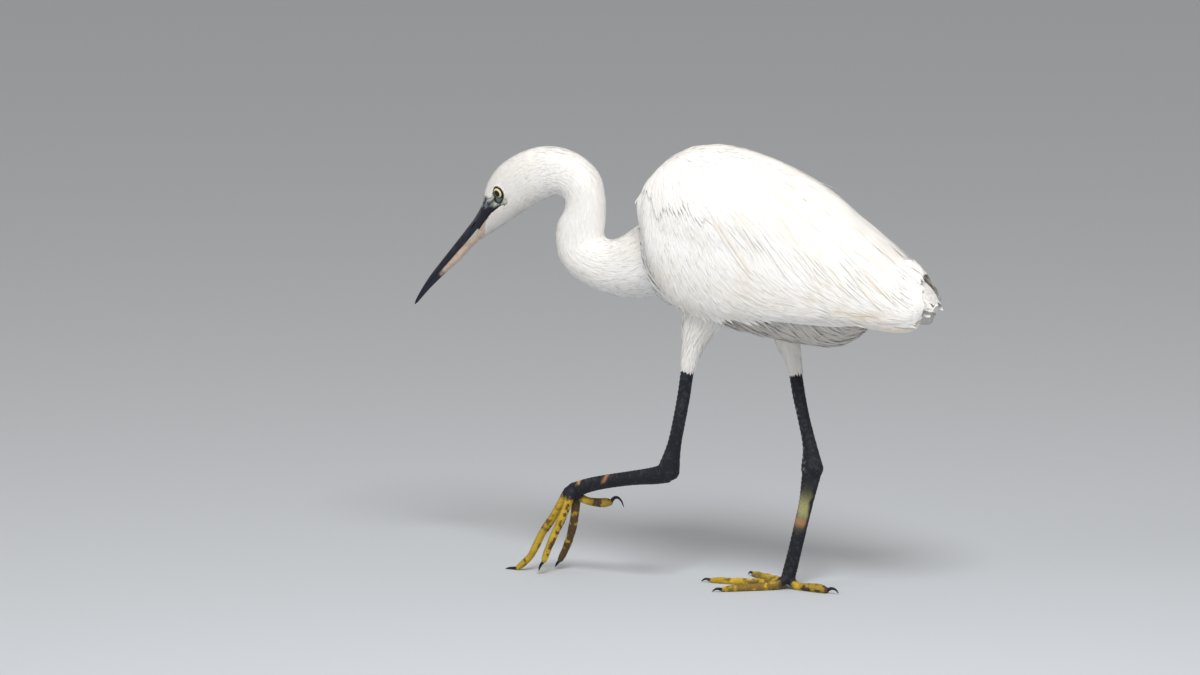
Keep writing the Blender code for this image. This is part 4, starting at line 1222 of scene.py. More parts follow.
def eye_mesh(side):
    """Eyeball with a bulging cornea, turned a little down the bill."""
    axis, toward, third = eye_axes(side)
    alpha = np.radians(np.concatenate([np.linspace(0.5, 60, 90), np.linspace(63, 176, 26)]))
    beta = 2 * np.pi * np.arange(144) / 144
    aa, bb = np.meshgrid(alpha, beta, indexing="ij")
    deg = np.degrees(aa)
    radius = EYE_R - 0.05 + 0.34 * np.clip(np.cos(np.radians(deg * 90 / 44)), 0, 1) ** 1.2 * (deg < 44)
    way = (axis * np.cos(aa)[..., None] + (toward * np.cos(bb)[..., None] + third * np.sin(bb)[..., None]) * np.sin(aa)[..., None])
    mesh = tube_mesh("eye_ball_" + side, EYES[side] + way * radius[..., None])
    deg = np.concatenate([deg.ravel(), [0, 180]])
    bb = np.concatenate([bb.ravel(), [0, 0]])
    ring = np.stack([np.cos(bb) * 6, np.sin(bb) * 6, deg * 0.05], -1)
    rays = value_noise(ring * 3.0, 1.0, 41) * 0.6 + value_noise(ring * 7.0, 1.0, 42) * 0.4
    iris = np.array([0.80, 0.70, 0.30]) * (0.80 + 0.34 * rays)[:, None]
    iris = iris + (np.array([0.86, 0.82, 0.52]) - iris) * (0.5 * step(25, 31, deg))[:, None]
    colour = iris + (np.array([0.50, 0.36, 0.10]) - iris) * (np.exp(-((deg - 24.6) / 2.0) ** 2) * 0.7)[:, None]
    pupil = 1 - step(21.6, 22.8, deg)
    limbus = step(34.5, 38, deg)
    colour = colour * (1 - np.maximum(pupil, limbus))[:, None] + np.array([0.006, 0.006, 0.007]) * np.maximum(pupil, limbus)[:, None]
    attribute(mesh, "paint", colour, "FLOAT_COLOR")
    attribute(mesh, "rough", np.full(len(deg), 0.22))
    return mesh


def claw_mesh():
    """The eight claws: curved, deeper than wide, flatter underneath."""
    grids = []
    for side in ("left", "right"):
        for toe in TOES:
            rows, points = toe_rows(side, toe)
            tip, before = rows[-1][:3], rows[-2][:3]
            ahead = unit(tip - before)
            path = np.array([tip - ahead * 1.6, tip + ahead * 0.6] + [np.array(p) for p in points])
            k = np.linspace(0, len(path) - 1, 40)
            line = spline(path, k)
            t = k / k[-1]
            radius = 1.62 * (1 - t) ** 0.62 * (1 - 0.12 * t) + 0.12
            along = unit(np.gradient(line, axis=0))
            a = unit(np.array([0.0, 1.0, 0.0]) - along * along[:, 1:2])
            b = np.cross(along, a)
            b = b * np.where(b[:, 2:] < 0, -1, 1)
            w = 2 * np.pi * np.arange(20) / 20
            ring = (line[:, None] + a[:, None] * (radius * 0.82)[:, None, None] * np.cos(w)[None, :, None]
                    + b[:, None] * (radius * 1.12)[:, None, None] * (np.sin(w) * np.where(np.sin(w) < 0, 0.80, 1.0))[None, :, None])
            ring[..., 2] = np.maximum(ring[..., 2], 0.02)
            grids.append(ring)
    points, quads, fans, first = [], [], [], 0
    for grid in grids:
        part = tube_mesh("part", grid)
        points.append(points_of(part))
        for f in part.polygons:
            (quads if len(f.vertices) == 4 else fans).append([v + first for v in f.vertices])
        first += len(points[-1])
        bpy.data.meshes.remove(part)
    p = np.concatenate(points)
    mesh = mesh_of("claws", p, [np.array(quads), np.array(fans)])
    n1 = value_noise(p, 1.2, 51)
    attribute(mesh, "paint", np.array([0.012, 0.011, 0.012]) + np.array([0.09, 0.075, 0.06]) * (step(0.62, 0.9, n1) * 0.5)[:, None], "FLOAT_COLOR")
    attribute(mesh, "rough", 0.30 + 0.15 * n1)
    return mesh


def hard_parts():
    horn = painted_material("bill_horn_paint", 1400.0, 0.18, 0.0002, 0.0, 0.16)
    for upper in (True, False):
        mesh = bill_mesh(upper)
        mesh.materials.append(horn)
        obj = piece(mesh.name, mesh)
        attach(obj, "root")
        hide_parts("bill_upper" if upper else "bill_lower")
    wet = painted_material("eye_paint", 2500.0, 0.05, 0.0001, 0.0, 0.06)
    shader = wet.node_tree.nodes["Principled BSDF"]
    shader.inputs["Specular IOR Level"].default_value = 0.12
    shader.inputs["Coat Weight"].default_value = 0.35
    shader.inputs["Coat Roughness"].default_value = 0.02
    for side in ("left", "right"):
        mesh = eye_mesh(side)
        mesh.materials.append(wet)
        obj = piece(mesh.name, mesh)
        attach(obj, "root")
        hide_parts("eye_" + side)
    mesh = claw_mesh()
    mesh.materials.append(painted_material("claw_paint", 1600.0, 0.25, 0.0002, 0.0, 0.3))
    obj = piece("claws", mesh)
    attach(obj, "root")
    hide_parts(*["claw_%s_%s" % (t, s) for s in ("left", "right") for t in TOES])


# ---- the coat, tract by tract ----------------------------------------------------------
def open_air(tree, flip=False, near=7.0):
    """Keeps the roots that no other part of the body covers."""
    def keep(p, n):
        if flip:
            p, n = p * (1, -1, 1), n * (1, -1, 1)
        start = (p + SHIFT + n * 0.2) * MM
        kept = []
        for a, b in zip(start, n):
            way = Vector(b)
            _, normal, _, gap = tree.ray_cast(Vector(a), way, 0.06)
            kept.append(normal is None or (normal.dot(way) < 0 and gap > near * MM))
        return np.array(kept, bool)
    return keep


def wing_angle(u, v):
    """How far below level the feathers of a wing run, in degrees."""
    base = np.interp(u, [-0.3, 0.6, 1.5, 3.0, 4.5, 6.0, 7.5, 9.0, 11.0], [87, 84, 76, 63, 53, 48, 44, 41, 39])
    upper = np.interp(v, [-0.15, 0.30], [0.72, 1.0])
    low = step(0.58, 0.98, v) * step(2.5, 5.5, u)
    return base * upper * (1 - low) + 14.0 * low


def wing_heading(more=0.0):
    def factory(turn, bend):
        def heading(p, n, u, v, pu, pv, t):
            angle = np.radians(wing_angle(u, v) + more)
            d = np.stack([np.cos(angle), np.zeros_like(angle), -np.sin(angle)], -1)
            return turned(d - n * dot(d, n)[:, None], n, turn + bend * t)
        return heading
    return factory


def towards_tip(k):
    """Stations along a broad feather, closer together where its tip is rounded."""
    return 1 - (1 - np.arange(k + 1) / k) ** 1.8


def broad(coat, P, N, width, uv_root, warm, tint, seed, across=5, camber=0.05):
    """Broad feathers with a shaft, two webs and a rounded tip; each is a thin closed blade."""
    m, k1 = P.shape[:2]
    k = k1 - 1
    T = unit(np.gradient(P, axis=1))
    side = unit(np.cross(T, N))
    t = towards_tip(k)
    outline = np.clip(t / 0.10, 0.25, 1) ** 0.5 * np.sqrt(np.clip(1 - (np.clip(t - 0.84, 0, 1) / 0.16) ** 2, 0, 1))
    cols = np.linspace(-1, 1, 2 * across + 1)
    chip = np.stack([value_noise(np.stack([np.arange(m * k1) * 0.24, np.full(m * k1, 7.0 * s), np.zeros(m * k1)], -1), 1.0, seed + s)
                     for s in (0, 1)], -1).reshape(m, k1, 2)
    chip = 1 - 0.10 * step(0.55, 0.9, chip) * (1 - step(0.75, 0.86, t))[None, :, None]
    half = 0.5 * width[:, None] * outline[None]
    s = cols[None, None, :]
    web = np.where(s < 0, chip[..., :1], chip[..., 1:])
    off = half[..., None] * s * np.where(s < 0, 0.86, 1.0) * web
    high = width[:, None, None] * camber * (1 - s**2) + 0.26 * np.exp(-(s / 0.09) ** 2) * (1 - 0.7 * t)[None, :, None]
    ripple = 0.07 * np.sin(np.abs(s) * 11 + t[None, :, None] * 60.0) * (np.abs(s) > 0.12)
    top = P[:, :, None] + side[:, :, None] * off[..., None] + N[:, :, None] * (high + ripple)[..., None]
    under = (top - N[:, :, None] * 0.22)[:, :, 1:-1][:, :, ::-1]
    ring = np.concatenate([top, under], 2)[:, :k]
    c = ring.shape[2]
    points = np.concatenate([ring.reshape(m, k * c, 3), P[:, k:] + N[:, k:] * 0.1], 1)
    slope = 0.35 * cols + 0.5 * np.exp(-((cols - 0.08) / 0.08) ** 2) - 0.5 * np.exp(-((cols + 0.08) / 0.08) ** 2)
    up = unit(N[:, :, None] + side[:, :, None] * slope[None, None, :, None])
    down = np.repeat(N[:, :, None], c - len(cols), 2)
    normals = np.concatenate([up, down], 2)[:, :k].reshape(m, k * c, 3)
    normals = np.concatenate([normals, N[:, k:]], 1)
    i, j = np.arange(k - 1)[:, None], np.arange(c)[None]
    quads = np.stack([i * c + j, i * c + (j + 1) % c, (i + 1) * c + (j + 1) % c, (i + 1) * c + j], -1).reshape(-1, 4)
    j = np.arange(c)
    e = (k - 1) * c
    tris = np.concatenate([np.stack([e + j, e + (j + 1) % c, np.full(c, k * c)], -1),
                           np.stack([np.zeros(c - 2, int), j[2:], j[1:-1]], -1)])
    sx = np.concatenate([cols, cols[1:-1][::-1]])
    sx, along = np.tile(sx, k), np.repeat(t[:k], c)
    sx, along = np.append(sx, 0.0), np.append(along, 1.0)
    uv = uv_root[:, None] + 0.003 * (np.stack([sx * 0.5, along - 0.5], -1))[None]
    length = np.linalg.norm(np.diff(P, axis=1), axis=2).sum(1)
    vane = np.stack([sx[None] * 0.5 * width[:, None], along[None] * length[:, None] + rng.random((m, 1)) * 40], -1)
    shade = np.concatenate([np.repeat(warm[:, :k], c, 1), warm[:, k:]], 1)
    face = np.where(np.arange(c) < len(cols) - 1, 1.0, -1.0)
    coat.take(points, normals, quads, tris, uv, vane, shade, np.repeat(tint[:, None], k * c + 1, 1),
              np.tile(face, k - 1), np.concatenate([face, np.ones(c - 2)]))


def wing_quills(coat, flip):
    """Secondaries, tertials and the folded primaries of one wing, each along its own line in (u, v)."""
    lines = []      # u, v at the root, u, v at the tip, width, height at the root and at the tip
    for i in range(7):           # primaries along the lower edge, the longest undermost
        s = i / 6
        lines.append((3.6 - 0.1 * i, 0.985 - 0.010 * i, 11.35 - 0.42 * i, 1.26 - 0.035 * i, 7.5, -2.6 + 0.20 * i, -1.9 + 0.24 * i))
    for i in range(8):           # secondaries, down to the lower edge
        lines.append((2.6 + 0.2 * i, 0.88 - 0.035 * i, 7.4 + 0.36 * i, 1.00 - 0.006 * i, 12.0, -2.8 + 0.08 * i, -1.7 + 0.12 * i))
    # tertials, whose rounded ends make the rear edge
    for i, (u_tip, v_tip) in enumerate([(10.05, 1.02), (10.50, 0.97), (10.90, 0.88), (11.20, 0.76), (11.30, 0.62), (11.15, 0.47),
                                        (10.95, 0.32), (10.75, 0.18)]):
        lines.append((4.2 + 0.20 * i, 0.66 - 0.075 * i, u_tip, v_tip, 13.5, -2.4 + 0.08 * i, -0.35 + 0.06 * i))
    lines = np.array(lines)
    k = 30
    t = towards_tip(k)[None]
    u = lines[:, 0:1] + (lines[:, 2:3] - lines[:, 0:1]) * t
    bow = 0.10 * np.sin(np.pi * t) * (lines[:, 3:4] > 0.5) * (lines[:, 1:2] < 0.9)
    power = np.where(np.arange(len(lines)) < 7, 3.6, 1.15)[:, None]
    v = lines[:, 1:2] + (lines[:, 3:4] - lines[:, 1:2]) * t ** power + bow * 0.4
    p, along, _, n = frame_at(wing_surface, np.minimum(u, 10.85), v)
    p = p + unit(along) * (np.maximum(u - 10.85, 0) * 8.0)[..., None]
    height = lines[:, 5:6] + (lines[:, 6:7] - lines[:, 5:6]) * t**2
    P = p + n * height[..., None]
    if flip:
        P, n = P * (1, -1, 1), n * (1, -1, 1)
    m = len(lines)
    root = np.stack([0.02 + 0.96 * (lines[:, 0] + 0.3) / 11.3, 0.02 + 0.96 * (lines[:, 1] + 0.4) / 1.5], -1)
    # painted shade: the quills are creamier towards their roots, and the primaries' tips, which lie in shade, are
    # painted deep cream
    warm = np.clip(0.04 + 0.10 * (1 - t) + np.repeat(rng.random((m, 1)) * 0.08, k + 1, 1), 0, 1)
    warm[:7] += 0.75 * step(0.86, 0.97, t)
    broad(coat, P, n, lines[:, 4], root, warm, 0.95 + 0.05 * rng.random(m), 61, across=5)


def tail_feathers():
    coat = Coat("coat_tail", PLUMAGE)
    order = np.array([-5.5, 5.5, -4.5, 4.5, -3.5, 3.5, -2.5, 2.5, -1.5, 1.5, -0.5, 0.5])
    k = 28
    t = towards_tip(k)
    P, N = [], []
    for rank, o in enumerate(order):
        x = 88 + (64.0 - 0.55 * abs(o)) * t
        y = o * (0.55 + 0.72 * t)
        r = spline(TAIL, np.interp(x, TAIL[:, 0], np.arange(5)))
        z = r[:, 1] - 0.7 + rank * 0.10 + 2.2 * t - 0.165 * y**2
        P.append(np.stack([x, y, z], -1))
        N.append(unit(np.stack([0.45 + 0 * x, 0.33 * y, 1.0 + 0 * x], -1)))
    P, N = np.array(P), np.array(N)
    root = np.stack([0.1 + 0.8 * (order + 6) / 12, np.full(12, 0.5)], -1)
    warm = np.full((12, k + 1), 0.05)
    broad(coat, P, N, np.full(12, 8.0), root, warm, 0.96 + 0.04 * rng.random(12), 71, across=4)
    # fluffy coverts at its root, above and below
    def top(u, s):
        x = 78 + 68 * u
        z = np.interp(x, [78, 90, 110, 130, 144, 152], [253.0, 247.0, 238.5, 228.0, 219.0, 213.0])
        y = -s * (7.0 + 2.5 * u)
        return np.stack([x, y, z - 4.5 * s**2 + 0.8], -1)

    def under(u, s):
        x = 84 + 34 * u
        z = np.interp(x, [84, 96, 106, 113, 120, 130, 140, 152], [188.0, 198.0, 209.0, 216.5, 220.0, 220.5, 214.0, 206.0])
        y = s * 8.5
        return np.stack([x, y, z + 0.05 * y**2], -1)
    def rump(u, s):
        x = 110 + 42 * u
        wide = np.interp(x, [110, 130, 140, 148, 152], [12.0, 11.5, 11.0, 10.0, 7.5])
        tall = np.interp(x, [110, 130, 144, 152], [13.0, 13.5, 9.5, 1.8])
        z = np.interp(x, [110, 130, 144, 152], [237.0, 226.0, 217.5, 212.5])
        a, b = np.sin(1.75 * s), np.cos(1.75 * s)
        return np.stack([x, -wide * np.sign(a) * np.abs(a)**0.7, z + tall * np.sign(b) * np.abs(b)**0.7], -1)

    tract(coat, rump, (0.0, 0.91), (-1.0, 1.0), lambda u, v, p: 2.2 + 0 * u,
          lambda u, v, p: np.minimum(24.0, np.maximum(148.0 - p[:, 0], 5.0)),
          lambda u, v, p: 2.1 + 0 * u, lambda u, v, p: 1.0 + 0 * u, backwards, steps=6,
          warm=lambda u, v, p: 0.03 + 0 * u, loose=0.4, tip_height=0.1, jitter=0.10, last=1.02)
    # painted shade: the under coverts are painted creamier than those above
    for surface, low in ((top, False), (under, True)):
        tract(coat, surface, (0.0, 0.85), (-1.0, 1.0), lambda u, v, p: 2.1 + 0 * u,
              lambda u, v, p: np.minimum(20.0, np.maximum(141.0 - p[:, 0], 5.0)),
              lambda u, v, p: 2.2 + 0 * u, lambda u, v, p: 1.2 + 0 * u, backwards, steps=5,
              warm=lambda u, v, p: 0.04 + 0.10 * low + 0 * u, loose=0.8 * low, tip_height=0.2, jitter=0.14, last=1.1)
    coat.write()


def head_and_neck_coat(keep_open):
    coat = Coat("coat_neck", PLUMAGE)
    area = ((0.0, 17.0), (0.0, 2 * np.pi))

    def face(u, a, p):
        bare = (signed_distance(BARE_FACE, p[:, 0], p[:, 2]) > -0.15) & (np.abs(p[:, 1]) > 2.0)
        ok = ~bare
        for side in ("left", "right"):
            alpha, beta, r = eye_angles(p, side)
            around = dot(p - EYES[side], eye_axes(side)[0]) > -1
            ok &= ~(around & (r < 13) & (alpha < 47.0 + 11.0 * low_lid(beta)))
        return ok

    def face_warm(u, a, p):
        # painted shade: the throat's underside is painted creamier
        throat = step(-0.2, 0.8, -np.cos(a)) * (1 - step(3.0, 6.0, u))
        pink = np.exp(-((p[:, 0] + 193.0) / 4.5) ** 2 - ((p[:, 2] - 273.0) / 5.0) ** 2)
        return 0.05 + 0.10 * throat + 0.25 * pink + 0.10 * value_noise(p, 6.0, 81)

    def over_lids(P, t):
        for side in ("left", "right"):
            r, radius, near = lid_shape(P, side)
            wanted = radius + (0.04 + 0.22 * t[None])
            P = EYES[side] + (P - EYES[side]) * np.where(near > 0, 1 + np.maximum(wanted / r - 1, 0) * step(0.0, 0.3, near), 1)[..., None]
        return P

    tract(coat, neck_surface, (0.0, 4.6), area[1], lambda u, a, p: 0.50 + 0.125 * u, lambda u, a, p: 2.5 + 1.35 * u,
          lambda u, a, p: 0.30 + 0.10 * u, lambda u, a, p: coat_depth(u), backwards, keep=face, steps=3,
          warm=face_warm, patch=area, jitter=0.16, loose=0.15, tip_height=0.0, shape=over_lids)

    def back(u, a):
        return step(-0.1, 0.6, np.cos(a))

    def neck_length(u, a, p):
        nape = np.exp(-((u - 6.2) / 1.6) ** 2) * back(u, a)
        return np.interp(u, [4.5, 7, 11, 14, 17], [8.6, 10.5, 13.0, 18.0, 22.0]) + 5.0 * nape

    tract(coat, neck_surface, (4.5, 16.6), area[1], lambda u, a, p: np.interp(u, [4.5, 8, 13, 17], [1.12, 1.30, 1.60, 2.05]),
          neck_length, lambda u, a, p: np.interp(u, [4.5, 8, 13, 17], [0.80, 0.95, 1.20, 1.6]),
          lambda u, a, p: coat_depth(u), backwards, steps=4, patch=area,
          warm=lambda u, a, p: 0.03 + 0.06 * value_noise(p, 9.0, 82), jitter=0.15, loose=0.28,
          skin_tree=keep_open(), tip_height=0.15)

    # the few fine plumes of crown and nape, close to the neck
    tract(coat, neck_surface, (4.6, 7.4), (-0.55, 0.55), lambda u, a, p: 3.2 + 0 * u, lambda u, a, p: 19 + 0 * u,
          lambda u, a, p: 0.5 + 0 * u, lambda u, a, p: 0.7 + 0 * u, backwards, steps=9, down=False, patch=area,
          warm=lambda u, a, p: 0.02 + 0 * u, jitter=0.08, curl=0.25, loose=1.4, tip_height=0.3)
    coat.write()
    return coat


def body_coat(keep_open):
    coat = Coat("coat_body", PLUMAGE)
    area = ((0.0, 14.0), (0.0, 2 * np.pi))

    def size(u, a, p):
        under = step(0.2, 0.9, -np.cos(a))
        return np.interp(u, [0, 3, 7, 11, 14], [12.0, 15.0, 17.0, 21.0, 24.0]) * (1 + 0.25 * under)

    # painted shade: the underside from the breast back, below the wing, is painted creamier and darker through warm and
    # tone, as it lies in shade
    def shaded(u, a):
        return step(0.1, 0.8, -np.cos(a)) * step(3.0, 6.5, u)

    tract(coat, trunk_surface, (0.05, 12.8), area[1], lambda u, a, p: np.interp(u, [0, 3, 14], [1.7, 2.15, 2.3]), size,
          lambda u, a, p: np.interp(u, [0, 3, 14], [1.7, 2.1, 2.3]), lambda u, a, p: 3.0 + 0 * u, backwards, steps=4,
          warm=lambda u, a, p: 0.05 + 0.30 * shaded(u, a), tone=lambda u, a, p: 1 - 0.30 * shaded(u, a), skin_tree=keep_open(near=3.0),
          loose=0.9, tip_height=0.15, jitter=0.16, patch=area, last=13.2)
    # loose, pointed breast and flank feathers that hang over the edge of the belly
    def hang(turn, bend):
        def heading(p, n, u, v, pu, pv, t):
            d = unit(pu) * 0.75 + np.array([0.15, 0.0, -0.9])
            return turned(d - n * dot(d, n)[:, None], n, turn + bend * t)
        return heading

    # painted shade on these too, where they hang under the belly
    tract(coat, trunk_surface, (1.2, 11.5), (0.55 * np.pi, 1.45 * np.pi), lambda u, a, p: 4.2 + 0 * u,
          lambda u, a, p: 23 + 4 * value_noise(p, 12.0, 84), lambda u, a, p: 1.7 + 0 * u, lambda u, a, p: 1.6 + 0 * u,
          hang, steps=6, down=False, warm=lambda u, a, p: 0.08 + 0.24 * shaded(u, a) + 0.08 * value_noise(p, 14.0, 85),
          tone=lambda u, a, p: 1 - 0.30 * shaded(u, a), loose=2.4, tip_height=0.5,
          jitter=0.22, curl=0.3, patch=area, last=13.2)
    coat.write()
    return coat


# Where the scapulars end on the wing, as (u, v)
CAPE_EDGE = np.array([(0.9, 0.02), (1.3, 0.08), (1.7, 0.18), (1.95, 0.26), (2.1, 0.33), (2.45, 0.345), (2.75, 0.33),
                      (2.95, 0.345), (3.25, 0.37), (3.7, 0.40), (4.1, 0.405), (4.5, 0.40), (5.3, 0.42), (6.2, 0.47)])


def wing_coat(side, keep_open):
    flip = side == "right"
    coat = Coat("coat_wing_" + side, PLUMAGE)
    area = ((-0.3, 11.0), (-0.4, 1.1))
    keep = keep_open(flip=flip)
    wing_quills(coat, flip)

    # cream streaks over the rear of the wing, a cream band running back and down across it and a cream patch low on the
    # secondaries; and painted shade: the wing's lower half is painted creamier, as it lies in shade
    def cream_streaks_and_shade(u, v, p):
        cream = value_noise(np.stack([p[:, 0] * 0.25 + p[:, 2] * 0.25, p[:, 0] - p[:, 2], p[:, 1]], -1), 6.0, 86)
        band = np.exp(-((v - 0.10 - 0.075 * (u - 5.0)) / 0.05) ** 2) * step(5.0, 6.0, u) * (1 - step(9.0, 9.8, u))
        low = np.exp(-((v - 0.86) / 0.05) ** 2) * np.exp(-((u - 6.9) / 0.7) ** 2)
        return 0.02 + 0.42 * step(0.52, 0.82, cream) * step(4.0, 7.0, u) * (1 - step(0.75, 0.95, v)) + 0.40 * band * cream + 0.5 * low + 0.30 * cream * step(0.5, 0.8, v) * step(0.3, 1.5, u)

    def covert_length(u, v, p):
        size = np.interp(u, [-0.3, 1.5, 4, 7, 10.5], [11.0, 14.0, 21.0, 29.0, 26.0]) * np.interp(v, [0, 0.5, 0.8, 1.0], [1.0, 1.05, 1.15, 0.75])
        return np.minimum(size, np.maximum((143.0 - p[:, 0]) * 1.15, 5.0))

    tract(coat, wing_surface, (-0.2, 10.4), (-0.05, 0.965),
          lambda u, v, p: np.interp(u, [-0.3, 2, 6, 10.5], [1.65, 1.95, 2.45, 2.6]), covert_length,
          lambda u, v, p: np.interp(u, [-0.3, 2, 6, 10.5], [1.25, 1.45, 1.7, 1.6]),
          lambda u, v, p: np.interp(u, [-0.3, 0.2, 0.9, 6, 8.5, 10.5], [4.0, 3.2, 2.6, 2.3, 1.4, 0.3]), wing_heading(), steps=5, warm=cream_streaks_and_shade,
          patch=area, flip=flip, loose=0.5, jitter=0.13, curl=0.16, tip_height=0.10, last=10.6, sides=(-0.1, 1.08))

    # short feathers turn from the breast round the wing's leading edge
    def lead(u, v):
        edge = wing_surface(0 * u - 0.2, v)
        base = off_the_trunk(edge, -1.5, pull=True)
        s = np.clip(u, 0, 1)[..., None]
        beyond = wing_surface(np.maximum(u - 1, 0) * 0.5 - 0.2, v) - edge
        return base + (edge - base) * s - np.sin(np.pi * s) * (1.0, 0.0, 0.0) + beyond

    tract(coat, lead, (0.0, 1.4), (-0.6, 0.97), lambda u, v, p: 1.5 + 0 * u, lambda u, v, p: 9.5 + 0 * u,
          lambda u, v, p: 1.4 + 0 * u, lambda u, v, p: 1.0 + 0 * u, backwards, steps=5, patch=((0.0, 45.2), (-0.65, 1.1)), flip=flip,
          warm=lambda u, v, p: 0.03 + 0 * u, jitter=0.14, tip_height=0.05, last=4.0)

    # scapulars: longer, in a layer of their own whose tips make the scalloped edge of the cape
    def cape(u, v, p):
        edge = np.interp(u + 0.55, CAPE_EDGE[:, 0], CAPE_EDGE[:, 1])
        return v < edge - 0.115 + 0.03 * np.sin(u * 9.0)

    tract(coat, wing_surface, (0.7, 5.6), (-0.07, 0.36), lambda u, v, p: np.interp(u, [0.7, 3, 6], [1.9, 2.3, 2.7]),
          lambda u, v, p: np.interp(u, [0.7, 2, 4, 6], [15, 20, 27, 34]), lambda u, v, p: 2.3 + 0 * u,
          lambda u, v, p: 0.9 + 0 * u, wing_heading(-6.0), keep=cape, steps=6, warm=lambda u, v, p: 0.02 + 0 * u,
          patch=area, flip=flip, loose=0.3, jitter=0.12, curl=0.14,
          tip_height=lambda u, v, p: np.interp(u, [0.7, 2.4, 3.2, 4.2, 5.6], [1.1, 1.2, 0.7, 0.35, 0.2]),
          lift=0.25, last=10.6, sides=(-0.1, 1.08))

    # long loose scapular plumes over the folded wing
    tract(coat, wing_surface, (3.2, 7.6), (-0.05, 0.24), lambda u, v, p: 3.5 + 0 * u,
          lambda u, v, p: np.minimum(np.interp(u, [3, 5, 7.6], [62, 82, 70]) * (0.8 + 0.4 * value_noise(p, 5.0, 87)), (137.0 - p[:, 0]) * 1.25), lambda u, v, p: 2.0 + 0 * u,
          lambda u, v, p: 0.9 + 0 * u, wing_heading(-3.0), steps=16, down=False, warm=lambda u, v, p: 0.05 + 0.30 * step(0.45, 0.8, value_noise(p, 4.0, 88)),
          patch=area, flip=flip, loose=0.5, jitter=0.07, curl=0.16, tip_height=0.45, lift=0.3, last=10.4, sides=(-0.1, 1.08))
    coat.write()
    return coat


def back_coat():
    coat = Coat("coat_back", PLUMAGE)
    area = ((-0.2, 11.0), (-1.1, 1.1))
    tract(coat, saddle_surface, (-0.1, 9.8), (-1.05, 1.05), lambda u, v, p: np.interp(u, [0, 3, 10], [1.9, 2.2, 2.5]),
          lambda u, v, p: np.minimum(np.interp(u, [0, 2, 5, 10], [12, 17, 24, 30]), np.maximum(145.0 - p[:, 0], 6.0)),
          lambda u, v, p: 2.2 + 0 * u, lambda u, v, p: 2.4 + 0 * u,
          backwards, steps=5, warm=lambda u, v, p: 0.02 + 0.06 * value_noise(p, 10.0, 89), patch=area, loose=0.4, jitter=0.14,
          tip_height=0.15, last=10.4, sides=(-1.1, 1.1))
    tract(coat, saddle_surface, (3.0, 8.4), (-0.95, 0.95), lambda u, v, p: 3.4 + 0 * u, lambda u, v, p: np.minimum(58 + 22 * value_noise(p, 6.0, 90), 132.0 - p[:, 0]),
          lambda u, v, p: 1.9 + 0 * u, lambda u, v, p: 0.9 + 0 * u, backwards, steps=14, down=False,
          warm=lambda u, v, p: 0.04 + 0.16 * value_noise(p, 4.0, 91), patch=area, loose=0.6, jitter=0.09, curl=0.2, tip_height=0.5, last=10.4, sides=(-1.1, 1.1))
    coat.write()
    return coat


def thigh_coat(side, keep_open):
    coat = Coat("coat_thigh_" + side, PLUMAGE)
    area = ((0.0, 4.0), (0.0, 2 * np.pi))
    tract(coat, thigh_surface(side), (0.15, 3.85), area[1], lambda u, a, p: np.interp(u, [0, 4], [2.0, 1.25]),
          lambda u, a, p: np.interp(u, [0, 2, 3.3, 3.9], [17, 14, 9.5, 6.0]), lambda u, a, p: np.interp(u, [0, 4], [1.8, 1.0]),
          lambda u, a, p: np.interp(u, [0, 2, 4], [2.4, 1.6, 0.8]), backwards, steps=4,
          warm=lambda u, a, p: 0.07 + 0.12 * value_noise(p, 8.0, 92), skin_tree=keep_open(near=4.0), patch=area,
          loose=1.2, jitter=0.20, tip_height=0.2)
    coat.write()
    return coat


# ---- build -----------------------------------------------------------------------------
skin = build_skin()
skin.data.materials.clear()
skin.data.materials.append(painted_material("skin_paint", 900.0, 0.35, 0.0004, 620.0))
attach(skin, "root")
flesh = ["head", "neck_upper", "neck_middle", "neck_lower", "trunk", "wing_left", "wing_right", "tail"]
for side in ("left", "right"):
    flesh += ["thigh_" + side, "tibia_" + side, "tarsus_" + side] + ["toe_%s_%s" % (t, side) for t in TOES]
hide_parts(*flesh)
hard_parts()

PLUMAGE = plumage_material("plumage_paint")
skin_tree = BVHTree.FromObject(skin, bpy.context.evaluated_depsgraph_get())


def uncovered(**kw):
    return open_air(skin_tree, **kw)


head_and_neck_coat(uncovered)
body_coat(uncovered)
back_coat()
tail_feathers()
for side in ("left", "right"):
    wing_coat(side, uncovered)
    thigh_coat(side, uncovered)

# ---- stage, light and camera --------------------------------------------------------------
A, E, SCALE, DISTANCE = math.radians(26), math.radians(10), 0.715e-3, 16.0
right_way = np.array([math.cos(A), math.sin(A), 0.0])
up_way = np.array([-math.sin(A) * math.sin(E), math.cos(A) * math.sin(E), math.cos(E)])
back_way = np.array([math.sin(A) * math.cos(E), -math.cos(A) * math.cos(E), math.sin(E)])
target = right_way * ((600 - 745) * SCALE) + up_way * ((587 - 337.5) * SCALE) + SHIFT * MM


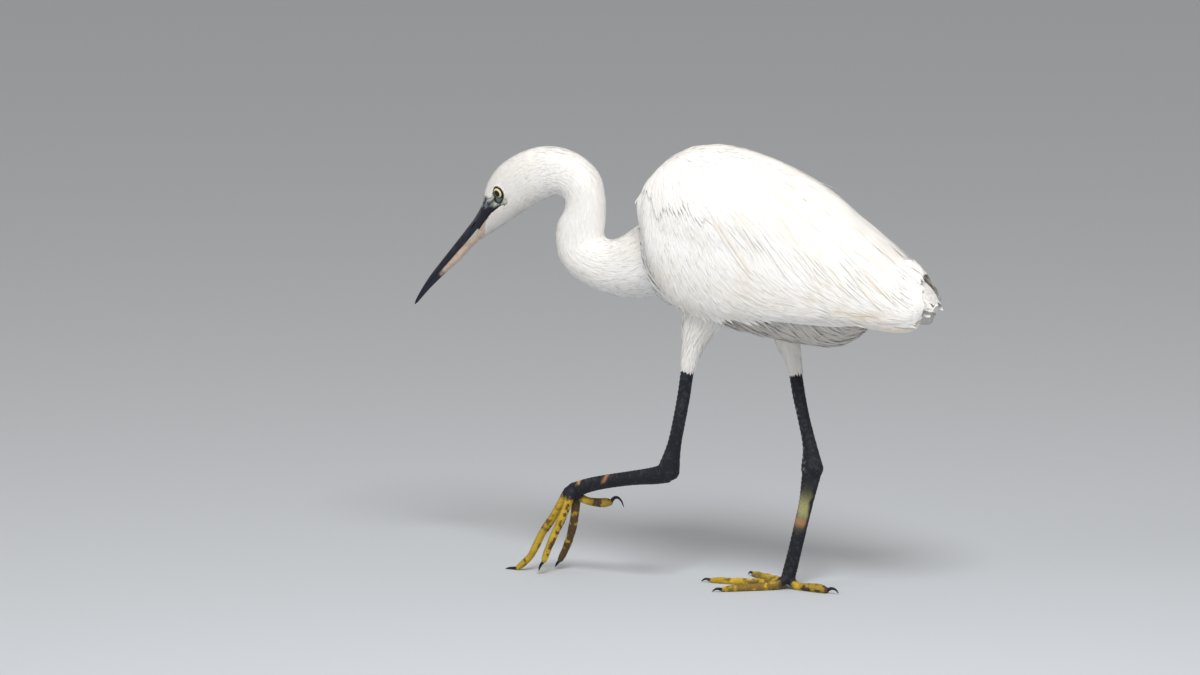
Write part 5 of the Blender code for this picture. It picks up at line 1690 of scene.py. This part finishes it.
def turn_to(obj, direction):
    """Points an object's -Z along direction."""
    obj.rotation_mode = "QUATERNION"
    obj.rotation_quaternion = Vector(direction).to_track_quat("-Z", "Y")


camera_data = bpy.data.cameras.new("camera")
camera_data.sensor_width = 36.0
camera_data.lens = 36.0 * DISTANCE / (1200 * SCALE)
camera_data.clip_start, camera_data.clip_end = 0.5, 80.0
camera = bpy.data.objects.new("camera", camera_data)
bpy.context.scene.collection.objects.link(camera)
camera.location = target + back_way * DISTANCE
turn_to(camera, -back_way)
bpy.context.scene.camera = camera

floor_mesh = bpy.data.meshes.new("floor")
floor_mesh.from_pydata([(-30, -30, 0), (30, -30, 0), (30, 30, 0), (-30, 30, 0)], [], [(0, 1, 2, 3)])
floor = piece("floor", floor_mesh)
floor_material, floor_tree, floor_shader = new_material("floor_paper")
floor_shader.inputs["Base Color"].default_value = (0.56, 0.595, 0.64, 1)
floor_shader.inputs["Roughness"].default_value = 0.9
floor.data.materials.append(floor_material)

world = bpy.data.worlds.new("studio")
bpy.context.scene.world = world
world.use_nodes = True
world.node_tree.nodes["Background"].inputs["Color"].default_value = (1.0, 0.955, 0.905, 1)
world.node_tree.nodes["Background"].inputs["Strength"].default_value = 0.44


def area_light(name, at, size, power, colour=(1, 1, 1)):
    data = bpy.data.lights.new(name, "AREA")
    data.shape, data.size, data.energy, data.color = "DISK", size, power, colour
    obj = bpy.data.objects.new(name, data)
    bpy.context.scene.collection.objects.link(obj)
    obj.location = at
    turn_to(obj, np.array([0.0, 0.0, 0.2]) - np.array(at))


key_way = unit(0.14 * right_way + 1.0 * back_way + np.array([0.0, 0.0, 1.05]))
area_light("key", tuple(np.array([0.0, 0.0, 0.2]) + key_way * 1.9), 0.7, 27.5, (1.0, 0.99, 0.98))
fill_way = unit(-0.9 * right_way + 0.55 * back_way + np.array([0.0, 0.0, 0.45]))
area_light("fill", tuple(np.array([0.0, 0.0, 0.2]) + fill_way * 2.4), 1.4, 9.0, (1.0, 0.98, 0.95))

bpy.context.scene.view_settings.view_transform = "Standard"
